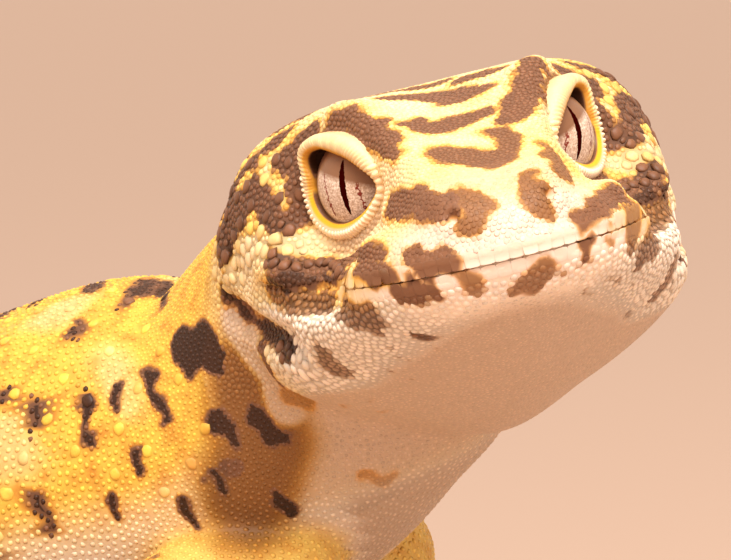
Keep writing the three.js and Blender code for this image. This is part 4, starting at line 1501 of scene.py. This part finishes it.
def array_mesh(name, points, corners, sizes):
    """A mesh from arrays of points in millimetres, of all faces' corners in turn, and of the faces' sizes."""
    mesh = bpy.data.meshes.new(name)
    mesh.vertices.add(len(points))
    mesh.vertices.foreach_set("co", (points * MM).astype(np.float32).ravel())
    mesh.loops.add(len(corners))
    mesh.loops.foreach_set("vertex_index", corners)
    mesh.polygons.add(len(sizes))
    starts = np.concatenate([[0], np.cumsum(sizes)[:-1]]).astype(np.int32)
    mesh.polygons.foreach_set("loop_start", starts)
    mesh.update(calc_edges=True)
    mesh.shade_smooth()
    return mesh


def domes(name, pick, sides, profile, height):
    """One mesh of a dome on each picked root; the profile lists ring widths and heights."""
    at, radius, normal = roots[pick], radii[pick], root_normal[pick]
    outlines = plate_outlines if (kinds[pick] == 3).all() else cell_outlines
    reach, axis_a, axis_b, turns = outlines(pick, sides)
    mean = reach.mean(axis=1)
    tall = height[pick] * mean
    spoke = np.cos(turns)[None, :, None] * axis_a[:, None] + np.sin(turns)[None, :, None] * axis_b[:, None]
    local = to_head(at)
    back = np.where((local[:, :1] > -14), -HEAD_TURN[:, 0][None], np.array([[-1.0, 0, 0]]))
    back = back - (back * normal).sum(axis=1)[:, None] * normal
    lean = 0.22 * tall[:, None] * back
    even = root_even[pick][:, None]
    parts, tips = [(at + tall[:, None] * normal + lean)[:, None]], [np.ones((len(at), 1))]
    lifts = [tall[:, None]]
    places = [np.zeros((len(at), 1, 2))]
    round_way = np.stack([np.cos(turns), np.sin(turns)], axis=-1)[None]
    for width, rise in profile:
        ring_reach = reach * width * (0.93 if width > 0.9 else 1)
        evened = ring_reach * 0.5 + ring_reach.mean(axis=1)[:, None] * 0.5 if width < 0.8 else ring_reach
        ring = at[:, None] + evened[..., None] * spoke + lean[:, None] * max(rise, 0)
        level = rise * tall if rise > 0 else -np.minimum(SUNK, 0.5 * tall)
        ring = ring + level[:, None, None] * normal[:, None]
        parts.append(ring)
        lifts.append(np.broadcast_to(level[:, None], (len(at), sides)))
        # each ring's share of painted light, from the rim's evenness up to 1 at the crown
        tips.append(np.broadcast_to(even + (1 - even) * max(rise, 0), (len(at), sides)))
        places.append(np.broadcast_to(round_way * width, (len(at), sides, 2)))
    points = np.concatenate(parts, axis=1)
    per = points.shape[1]
    if outlines is plate_outlines:
        points = bend_plates(points, np.concatenate(lifts, axis=1), normal)
    points = clear_of_mouth(points, at)
    corners, sizes = dome_faces(len(at), len(profile), sides)
    mesh = array_mesh(name, points.reshape(-1, 3), corners, sizes)
    fields = {k: np.repeat(v[pick], per) for k, v in root_fields.items()}
    fields["tint"] = np.repeat(root_tint[pick], per)
    if outlines is plate_outlines:  # the marks run on across the lip's plates
        fields = colour_fields(points.reshape(-1, 3)) | {"tint": 0.45 + 0.1 * fields["tint"]}
    fields["tip"] = np.concatenate(tips, axis=1).ravel()
    write_fields(mesh, fields)
    patch = skin_uv(at)[:, None] + PATCH / 2 * np.concatenate(places, axis=1)
    layer = mesh.uv_layers.new(name="OFBake")
    layer.data.foreach_set("uv", patch.reshape(-1, 2)[corners].astype(np.float32).ravel())
    mesh.validate()
    print(name, "scales:", len(at), "triangles:", int((sizes - 2).sum()))
    return in_scene(name, mesh)


# %% Regions of scales
SMALL = [(1.0, 0.0)]
GRANULE = [(0.62, 0.80), (1.0, 0.0)]
TUBERCLE = [(0.45, 0.88), (0.82, 0.45), (1.0, 0.0)]
root_local = to_head(roots)
x, y, z = root_local.T
on_face = before_nape(x, np.abs(y), z, -13)
below = ramp(past_throat_edge(x, z), -0.15, 0.5) * on_face
fore = (root_share < 0.2) & ~on_face
snout = ramp(x, 8.5, 11) * (z > mouth_line(x))
lip_height = 0.02 - 0.016 * ramp(x, 9.5, 12)  # the front of the lips is almost smooth
height = np.where(on_face, 0.26 - np.maximum(0.14 * below, 0.21 * snout), 0.34)
height = np.where(~on_face & ((np.abs(root_angle) > 110) | fore), 0.2, height)
height = np.where(kinds == 1, 0.24, np.where(kinds == 2, 0.32, np.where(kinds == 3, lip_height, height)))
height = np.where((kinds == 0) & (radii > 0.36), 0.27, np.where(kinds == 4, 0.55, height))
left = roots[:, 1] >= 0
face_left = y >= 0
fine = on_face & (kinds == 0)
trunk = ~on_face & (kinds != 1) & (root_share >= 0.2) & (root_share < 0.62)
tail = ~on_face & (kinds != 1) & (root_share >= 0.62)
regions = {
    "scales_face_left": (fine & face_left & (below <= 0), 8, GRANULE),
    "scales_face_right": (fine & ~face_left & (below <= 0), 8, GRANULE),
    "scales_throat": (fine & (below > 0), 7, SMALL),
    "scales_neck": (fore & (kinds != 1), 7, SMALL),
    "scales_trunk_left": (trunk & left, 7, SMALL),
    "scales_trunk_right": (trunk & ~left, 7, SMALL),
    "scales_tail": (tail, 7, SMALL),
    "tubercles_left": ((kinds == 1) & left, 9, TUBERCLE),
    "tubercles_right": ((kinds == 1) & ~left, 9, TUBERCLE),
    "tubercles_face": (on_face & np.isin(kinds, (2, 4)), 10, TUBERCLE),
    "lip_plates": (on_face & (kinds == 3), 16, [(0.72, 1.0), (0.9, 0.85), (1.0, 0.0)]),
}
scale_pieces = [domes(name, *region, height) for name, region in regions.items()]

# %% [markdown]
# ## The skin itself

# %% Skin piece
skin_fields = colour_fields(skin_at)
skin_fields["tint"] = np.full(len(skin_at), 0.5)
skin_even = evenness(skin_at, scale_radius(skin_at))
# painted light and shade on the skin between the scales, as on a scale's rim
skin_fields["tip"] = 0.9 * skin_even + 0.16 * ramp(skin_even, 0.84, 0.93)
write_fields(skin_mesh, skin_fields)
for name in ("spacing_class", "tubercle_zone", "coarse_scales"):
    skin_mesh.attributes.remove(skin_mesh.attributes[name])
grounded = skin_at.copy()
grounded[:, 2] = np.maximum(grounded[:, 2], 0)
set_points(skin_mesh, grounded * MM)
skin_mesh.shade_smooth()
skin = in_scene("skin", skin_mesh)
bpy.data.objects.remove(unwrapped_object)
print("skin done")

# %% [markdown]
# ## Eyelids, eyes and claws
#
# The rolled lids are made finer than the skin they grow from, with faint cross striations above and a fringe of
# beads below. The same tree that sets the fringe's beads also sets the claws: it puts a copy of one shape on each
# point, turned by two directions that the point carries.


# %% Copies tree
def copies_tree():
    """Copies of a shape on points: Z along the point's "aim", X along its "side", scaled by its "size"."""
    inputs = {"Geometry": "Geometry", "Shape": "Object", "Material": "Material"}
    tree, given, result = new_tree("Place copies", "GeometryNodeTree", inputs, {"Geometry": "Geometry"})

    def carried(name):
        kind = "GeometryNodeInputNamedAttribute"
        return add_node(tree, kind, {"Name": name}, data_type="FLOAT_VECTOR").outputs["Attribute"]

    shape = add_node(tree, "GeometryNodeObjectInfo", {"Object": given["Shape"]})
    ways = {0: carried("aim"), 1: carried("side")}
    turned = add_node(tree, "FunctionNodeAxesToRotation", ways, primary_axis="Z", secondary_axis="X")
    placing = {
        "Points": given["Geometry"],
        "Instance": shape.outputs["Geometry"],
        "Rotation": turned.outputs["Rotation"],
        "Scale": carried("size"),
    }
    placed = add_node(tree, "GeometryNodeInstanceOnPoints", placing)
    real = add_node(tree, "GeometryNodeRealizeInstances", {"Geometry": placed.outputs["Instances"]})
    finish = {"Geometry": real.outputs["Geometry"], "Material": given["Material"]}
    finished = add_node(tree, "GeometryNodeSetMaterial", finish)
    set_inputs(tree, result, {"Geometry": finished.outputs["Geometry"]})
    return tree


def write_vectors(mesh, name, values):
    layer = mesh.attributes.new(name, "FLOAT_VECTOR", "POINT")
    layer.data.foreach_set("vector", np.asarray(values, dtype=np.float32).ravel())


def place_copies(name, tree, shape, material, at, aim, side, size, fields):
    """A piece of realized copies; places and sizes are in millimetres."""
    points = bpy.data.meshes.new(name)
    points.from_pydata((np.asarray(at) * MM).tolist(), [], [])
    write_vectors(points, "aim", aim)
    write_vectors(points, "side", side)
    write_vectors(points, "size", np.asarray(size) * MM)
    write_fields(points, fields)
    mesh = run_tree(points, tree, {"Shape": shape, "Material": material})
    mesh.name = name
    piece = in_scene(name, mesh)
    print(name, "copies:", len(at), "faces:", len(mesh.polygons))
    return piece


def mesh_piece(name, rings, closed=False):
    """A lofted mesh piece, from rings in millimetres."""
    shape = Shapes()
    shape.add(rings, closed)
    mesh = bpy.data.meshes.new(name)
    mesh.from_pydata((shape.points[0] * MM).tolist(), [], shape.faces)
    mesh.shade_smooth()
    return in_scene(name, mesh)


# %% Eyelids
LID_ROWS, LID_COLUMNS = 280, 36
STRIATIONS = 86  # fine folds across the upper lid, all round
BEAD_STEP = 6.2  # degrees from one bead of the fringe to the next


def turn_from(angle, middle):
    """Degrees between two directions round the opening."""
    return np.abs(((angle - middle) + 180) % 360 - 180)


def lid_fields(angle, around):
    """Colour fields of the lid, painted shade too: angle round the opening, and round its roll (0 outer, 90 top,
    180 the eye).
    """
    upper = ramp(turn_from(angle, 92), 100, 78)
    inner = ramp(around, 105, 150) * ramp(around, 300, 240)
    edge_upper = ramp(around, 100, 135) * ramp(around, 300, 220)
    edge_lower = ramp(around, 90, 114) * ramp(around, 300, 240)
    # painted shade: the pocket at the back corner, and the sides of the lids turned to the eye, are darkened
    back_pocket_shade = ramp(turn_from(angle, 42), 32, 14) * ramp(around, 150, 185) * (around < 300)
    dark = upper * (0.36 * edge_upper + 0.2 * ramp(around, 165, 190)) + (1 - upper) * 0.06 * edge_lower
    dark = np.maximum(dark, back_pocket_shade)
    dark = np.maximum(dark, (1 - upper) * ramp(around, 128, 150) * (around < 300) * 0.9)
    warm = upper * (0.2 + 0.8 * edge_upper)
    ones = np.ones_like(dark)
    fields = {"dark": dark, "warm": warm, "lemon": (1 - upper) * edge_lower + 0.25 * upper * edge_upper}
    # tip: painted light, a little lower on the upper lid
    return fields | {"pale": (0.35 - 0.27 * upper) * (1 - inner), "tint": 0.5 * ones, "tip": 1 - 0.15 * upper}


lid_pieces, fringe = [], []
for side, name in ((1, "eyelid_left"), (-1, "eyelid_right")):
    rings = lid_rings(side, LID_ROWS, LID_COLUMNS, 1.0)
    angle = np.repeat(np.linspace(0, 360, LID_ROWS, endpoint=False), LID_COLUMNS)
    around = np.tile(np.linspace(0, 360, LID_COLUMNS, endpoint=False), LID_ROWS)
    middle = rings.mean(axis=1, keepdims=True)
    upper = ramp(turn_from(angle, 92), 110, 80)
    fold = np.cos(np.radians(angle) * STRIATIONS) * bump(np.abs(around - 85) / 85, 1) * 0.08 * upper
    away = rings - middle
    away /= np.linalg.norm(away, axis=2, keepdims=True)
    rings = rings + away * fold.reshape(LID_ROWS, LID_COLUMNS, 1)
    piece = mesh_piece(name, from_head(rings), closed=True)
    write_fields(piece.data, lid_fields(angle, around))
    lid_pieces.append(piece)
    turns = np.arange(168, 385, BEAD_STEP)
    reach, roll, stand = (round_turn(v, turns) for v in (LID_REACH, LID_ROLL, LID_STAND))
    back, up, ahead = lid_axes(side)
    spoke = np.cos(np.radians(turns))[:, None] * back + np.sin(np.radians(turns))[:, None] * up
    tilt = math.radians(38)  # where on the roll the beads sit, from its outer side
    middle = LID_MIDDLE * [1, side, 1]
    at = middle + (reach + roll * math.cos(tilt) * 0.86)[:, None] * spoke
    at = at + (stand + roll * math.sin(tilt) * 0.86)[:, None] * ahead
    outward = math.cos(tilt) * spoke + math.sin(tilt) * ahead
    inward = math.sin(tilt) * spoke - math.cos(tilt) * ahead
    wide = 0.5 * reach * math.radians(BEAD_STEP) * 1.1
    size = np.stack([0.40 + 0 * wide, wide, 0.24 + 0 * wide], axis=1)
    fringe.append((turns, from_head(at), outward @ HEAD_TURN.T, inward @ HEAD_TURN.T, size))
fringe_turn, *fringe_places = (np.concatenate(parts) for parts in zip(*fringe))

bead_rings = tapered_tube([(-0.75, 0, 0), (0, 0, 0), (0.75, 0, 0)], [0.8, 1.0, 0.8], 7, 8)
bead = mesh_piece("bead", bead_rings * 1000 * [0.62, 1, 1])
print("lids:", len(lid_pieces), "fringe beads:", len(fringe_turn))

# %% Eyes
IRIS_AT = np.array([0.91, 6.74, -0.06])  # where the left eye looks out of its ball, in the head's frame
EYE_RADIUS = 3.1
EYE_ROWS, EYE_COLUMNS = 72, 96

eye_pieces = []
for side, name in ((1, "eyeball_left"), (-1, "eyeball_right")):
    centre = EYE_AT * [1, side, 1]
    gaze = IRIS_AT * [1, side, 1] - centre
    gaze /= np.linalg.norm(gaze)
    across = np.cross([0, 0, 1], gaze) * side
    across /= np.linalg.norm(across)
    above = np.cross(gaze, across) * side
    polar = np.linspace(0.004, math.pi - 0.004, EYE_ROWS)[:, None, None]
    turns = even_turns(EYE_COLUMNS)[None, :, None]
    ball = np.sin(polar) * (np.cos(turns) * across + np.sin(turns) * above) + np.cos(polar) * gaze
    piece = mesh_piece(name, from_head(centre + EYE_RADIUS * ball))
    flat = ball.reshape(-1, 3)
    lean = (side > 0) * (0.15 * (flat @ above) ** 2 - 0.18 * (flat @ above))  # the left pupil leans more
    write_vectors(piece.data, "eye_at", np.stack([flat @ across + lean, flat @ above, flat @ gaze], axis=1))
    eye_pieces.append(piece)
print("eyes:", [p.name for p in eye_pieces])

# %% Claws
claw_places = []
for limb, share in ((FORELEG, 0.9), (HINDLEG, 1.0)):
    for side in (1, -1):
        for (toe_root, ahead), length in zip(palm_place(limb, side)[2], limb["lengths"]):
            at = toe_root * [1, 1, 0] + ahead * length * 1.06 + [0, 0, 1.05 * TOE_RADIUS]
            claw_places.append((at, [0, 0, 1], ahead, [CLAW_LENGTH * share] * 3))
claw_path = [(-0.35, 0, -0.05), (0.2, 0, 0.10), (0.65, 0, 0.0), (1.0, 0, -0.34)]
claw_rings = tapered_tube(claw_path, [0.30, 0.30, 0.20, 0.11, 0.03], 14, 10)
claw_shape = mesh_piece("claw_shape", claw_rings * 1000)
print("claws:", len(claw_places))

# %% Materials
CREAM = (0.87, 0.67, 0.40, 1)
YELLOW = (0.88, 0.55, 0.075, 1)
ORANGE = (0.70, 0.30, 0.04, 1)
BROWN = (0.21, 0.09, 0.044, 1)
NEAR_BLACK = (0.055, 0.02, 0.009, 1)
ROSE = (0.94, 0.79, 0.66, 1)
# the throat's tan; it also colours the painted shade under the lower lids and on the snout's front
TAN = (0.66, 0.47, 0.33, 1)
# orange-brown; it also colours the painted shade on the shoulder and in the crease over the upper lids
RUST = (0.25, 0.095, 0.008, 1)
LEMON = (0.90, 0.47, 0.02, 1)
FIELDS = ("Dark", "Warm", "Pale", "Tan", "Rust", "Lemon", "Tint", "Tip")


class Value:
    """A number in a shader; each sum done with it adds one Math node."""

    def __init__(self, tree, socket):
        self.tree, self.socket = tree, socket

    def math(self, operation, a, b=0.0):
        inputs = {k: v.socket if isinstance(v, Value) else v for k, v in enumerate((a, b))}
        return Value(self.tree, add_node(self.tree, "ShaderNodeMath", inputs, operation=operation).outputs[0])

    def __add__(self, other):
        return self.math("ADD", self, other)

    def __sub__(self, other):
        return self.math("SUBTRACT", self, other)

    def __rsub__(self, other):
        return self.math("SUBTRACT", other, self)

    def __mul__(self, other):
        return self.math("MULTIPLY", self, other)

    def __truediv__(self, other):
        return self.math("DIVIDE", self, other)

    def __pow__(self, other):
        return self.math("POWER", self, other)

    def __abs__(self):
        return self.math("ABSOLUTE", self)

    def __lt__(self, other):
        return self.math("LESS_THAN", self, other)

    def __gt__(self, other):
        return self.math("GREATER_THAN", self, other)

    def clipped(self):
        """The same value, held between 0 and 1."""
        self.socket.node.use_clamp = True
        return self


def mix_colour(share, under, over):
    """One colour laid over another by a share."""
    inputs = {0: share.socket, 6: under, 7: over}
    return add_node(share.tree, "ShaderNodeMix", inputs, data_type="RGBA", blend_type="MIX").outputs[2]


def noise(tree, scale, detail=3.0):
    place = tree.nodes.new("ShaderNodeTexCoord").outputs["Object"]
    inputs = {"Scale": scale, "Detail": detail, "Roughness": 0.55, "Vector": place}
    return add_node(tree, "ShaderNodeTexNoise", inputs).outputs["Fac"]


def relief(tree, height, strength, depth):
    """A surface's normal, tilted as if it had the height."""
    inputs = {"Strength": strength, "Distance": depth, "Height": height}
    return add_node(tree, "ShaderNodeBump", inputs).outputs["Normal"]


def new_material(name, rough):
    """A material, its tree, and the inputs of its surface."""
    material = bpy.data.materials.new(name)
    material.use_nodes = True
    surface = material.node_tree.nodes["Principled BSDF"].inputs
    surface["Roughness"].default_value = rough
    return material, material.node_tree, surface


def colour_group():
    """The animal's colour from its fields, with painted light and shade, shared by the skin, the scales and the
    lids.
    """
    inputs = {name: "Float" for name in FIELDS}
    tree, given, result = new_tree("Gecko colour", "ShaderNodeTree", inputs, {"Colour": "Color"})
    dark, warm, pale, tan, rust, lemon, tint, tip = (Value(tree, given[name]) for name in FIELDS)
    mottle = Value(tree, noise(tree, 900.0))
    layers = [
        (((mottle - 0.42).clipped() * 3.0).clipped() * warm, ORANGE),
        (pale, ROSE),
        (tan, TAN),
        ((dark * 3.2).clipped() * warm, ORANGE),  # a rim round what is dark
        (lemon, LEMON),
        (rust, RUST),
        (((dark - 0.28).clipped() * 2.2).clipped(), BROWN),
        (((dark - 0.89).clipped() * 14.0).clipped(), NEAR_BLACK),
    ]
    colour = mix_colour(warm, CREAM, YELLOW)
    for share, over in layers:
        colour = mix_colour(share, colour, over)
    # painted light and shade: each scale's crown is lighter and its rim darker, the more so on dark marks; the tint
    # varies the tone at random
    lit = tip * (dark * 0.35 + 0.5) + (0.6 - dark * 0.3)
    lit = lit * (tint * 0.3 + 0.85)
    shade = add_node(tree, "ShaderNodeVectorMath", {0: colour, "Scale": lit.socket}, operation="SCALE")
    set_inputs(tree, result, {"Colour": shade.outputs[0]})
    return tree


COLOUR = colour_group()


def scaly_material(name, rough, bump_scale, bump_depth):
    material, tree, surface = new_material(name, rough)
    fields = {}
    for field in FIELDS:
        node = add_node(tree, "ShaderNodeAttribute", {}, attribute_name=field.lower())
        fields[field] = node.outputs["Fac"]
    group = add_node(tree, "ShaderNodeGroup", fields, node_tree=COLOUR)
    finish = {
        "Base Color": group.outputs["Colour"],
        "Specular IOR Level": 0.3,
        "Subsurface Weight": 0.12,
        "Subsurface Radius": (0.0012, 0.0006, 0.0003),
        "Subsurface Scale": 0.6,
        "Normal": relief(tree, noise(tree, bump_scale, 2.0), 0.6, bump_depth),
    }
    set_inputs(tree, surface, finish)
    return material


skin_material = scaly_material("skin", 0.5, 5000.0, 0.00003)
scale_material = scaly_material("scales", 0.42, 6000.0, 0.00001)
lid_material = scaly_material("lids", 0.38, 4000.0, 0.00001)
skin.data.materials.append(skin_material)
for piece in scale_pieces:
    piece.data.materials.append(scale_material)
for piece in lid_pieces:
    piece.data.materials.append(lid_material)

# %% Eye material
IRIS_LIGHT = (0.97, 0.81, 0.68, 1)
IRIS_SAND = (0.50, 0.33, 0.23, 1)
# painted shadow of the upper lid on the iris
IRIS_LID_SHADOW = (0.26, 0.125, 0.065, 1)
IRIS_VEIN = (0.22, 0.03, 0.018, 1)
PUPIL = (0.028, 0.001, 0.0005, 1)
SCLERA = (0.16, 0.065, 0.035, 1)


def eye_material():
    """The iris, the pupil and the ball round them, in the eye's own directions, which "eye_at" holds; the upper
    lid's shadow is painted on the iris.
    """
    material, tree, surface = new_material("eye", 0.35)
    place = add_node(tree, "ShaderNodeAttribute", {}, attribute_name="eye_at").outputs["Vector"]
    parts = add_node(tree, "ShaderNodeSeparateXYZ", {0: place})
    across, above, ahead = (Value(tree, part) for part in parts.outputs)

    def texture(kind, output, inputs, **settings):
        return Value(tree, add_node(tree, kind, {"Vector": place} | inputs, **settings).outputs[output])

    grain = texture("ShaderNodeTexNoise", "Fac", {"Scale": 26.0, "Detail": 5.0})
    wobble = texture("ShaderNodeTexNoise", "Fac", {"Scale": 15.0})
    ripple = texture("ShaderNodeTexNoise", "Fac", {"Scale": 22.0})
    edge = texture("ShaderNodeTexVoronoi", "Distance", {"Scale": 20.0}, feature="DISTANCE_TO_EDGE")
    colour = mix_colour(((grain - 0.38) * 3.2).clipped(), IRIS_SAND, IRIS_LIGHT)
    crack = (1.0 - (edge * 9.0).clipped()).clipped()
    colour = mix_colour(crack * 0.5, colour, IRIS_SAND)
    wavy = (wobble - 0.5) * 0.20
    for line, width in ((-0.30, 0.030), (0.40, 0.026)):  # the upright veins
        on_line = (1.0 - (abs(across + wavy - line) / width).clipped()).clipped()
        within = abs(above + 0.05) < 0.42
        colour = mix_colour((on_line * 2.2).clipped() * within, colour, IRIS_VEIN)
    sloped = above - across * 0.42
    colour = mix_colour(((sloped - 0.07) * 9.0).clipped(), colour, IRIS_LID_SHADOW)  # the shade of the upper lid
    colour = mix_colour(((0.74 - ahead) * 9.0).clipped(), colour, SCLERA)
    rise = (above + 0.01) / 0.50
    room = (1.0 - rise * rise).clipped()
    half = room**0.6 * 0.064 * (ripple * 0.9 + 0.55)  # half the slit's width, with an uneven edge
    bow = above * above * 0.04 + 0.01
    bowed = across + (bow - above * -0.08)
    slit = ((half - abs(bowed) + 0.002) * 250.0).clipped() * (ahead > 0.0)
    open_iris = 1.0 - slit
    finish = {
        "Base Color": mix_colour(slit, colour, PUPIL),
        "Specular IOR Level": (open_iris * 0.2).socket,
        "Coat Weight": (open_iris * 0.15).socket,
        "Coat Roughness": 0.06,
        "Normal": relief(tree, grain.socket, 0.35, 0.00004),
    }
    set_inputs(tree, surface, finish)
    return material


eye_finish = eye_material()
for piece in eye_pieces:
    piece.data.materials.append(eye_finish)

# %% Claw material and the copies
CLAW_DARK = (0.30, 0.20, 0.12, 1)
CLAW_PALE = (0.62, 0.50, 0.36, 1)
claw_finish, claw_tree, claw_surface = new_material("claw", 0.3)
claw_mottle = Value(claw_tree, noise(claw_tree, 1500.0))
set_inputs(claw_tree, claw_surface, {"Base Color": mix_colour(claw_mottle, CLAW_DARK, CLAW_PALE)})

COPIES = copies_tree()
claws = place_copies("claws", COPIES, claw_shape, claw_finish, *zip(*claw_places), {})
fringe_fields = {
    "warm": 0.5 * ramp(fringe_turn, 200, 176),
    "pale": np.full(len(fringe_turn), 0.35),
    "tint": 0.6 + 0.4 * rng.random(len(fringe_turn)),
    "tip": np.ones(len(fringe_turn)),
}
lid_fringe = place_copies("lid_fringe", COPIES, bead, lid_material, *fringe_places, fringe_fields)
for shape in (bead, claw_shape):
    bpy.data.objects.remove(shape)
for piece in (claws, lid_fringe):
    piece.data.shade_smooth()

# %% Stage and light
floor_mesh = bpy.data.meshes.new("floor")
floor_mesh.from_pydata([(-40, -40, 0), (40, -40, 0), (40, 40, 0), (-40, 40, 0)], [], [(0, 1, 2, 3)])
floor = in_scene("floor", floor_mesh)
floor_material, _, floor_surface = new_material("floor", 0.8)
floor_surface["Base Color"].default_value = (0.47, 0.33, 0.25, 1)
floor_mesh.materials.append(floor_material)


def add_light(name, kind, offset, size, power, colour):
    """A lamp turned to the head, and placed from it: to the camera's right, towards the camera, and up."""
    data = bpy.data.lights.new(name, kind)
    setattr(data, "angle" if kind == "SUN" else "size", size)
    data.energy = power
    data.color = colour
    lamp = in_scene(name, data)
    at = HEAD_AT * MM + offset[0] * camera_right + offset[1] * camera_back + np.array([0, 0, offset[2]])
    lamp.location = at
    lamp.rotation_euler = Vector(HEAD_AT * MM - at).to_track_quat("-Z", "Y").to_euler()


add_light("sky", "SUN", (-0.10, 0.20, 0.50), 0.9, 2.0, (1.0, 0.98, 0.95))
add_light("panel", "AREA", (0.05, 0.30, 0.30), 0.25, 1.9, (1.0, 0.95, 0.90))
world = bpy.data.worlds.new("studio")
world.use_nodes = True
background = world.node_tree.nodes["Background"].inputs
background["Color"].default_value = (1.0, 0.80, 0.66, 1)
background["Strength"].default_value = 0.91
bpy.context.scene.world = world
bpy.context.scene.view_settings.view_transform = "Standard"

# %% Ride and replace
flesh = [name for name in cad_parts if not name.startswith("eye_")]
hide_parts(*flesh)
for piece, node in zip(eye_pieces, ("eye_left", "eye_right")):
    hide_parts(node)
    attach(piece, "root")
for piece in [skin, *scale_pieces, *lid_pieces, lid_fringe, claws]:
    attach(piece, "root")
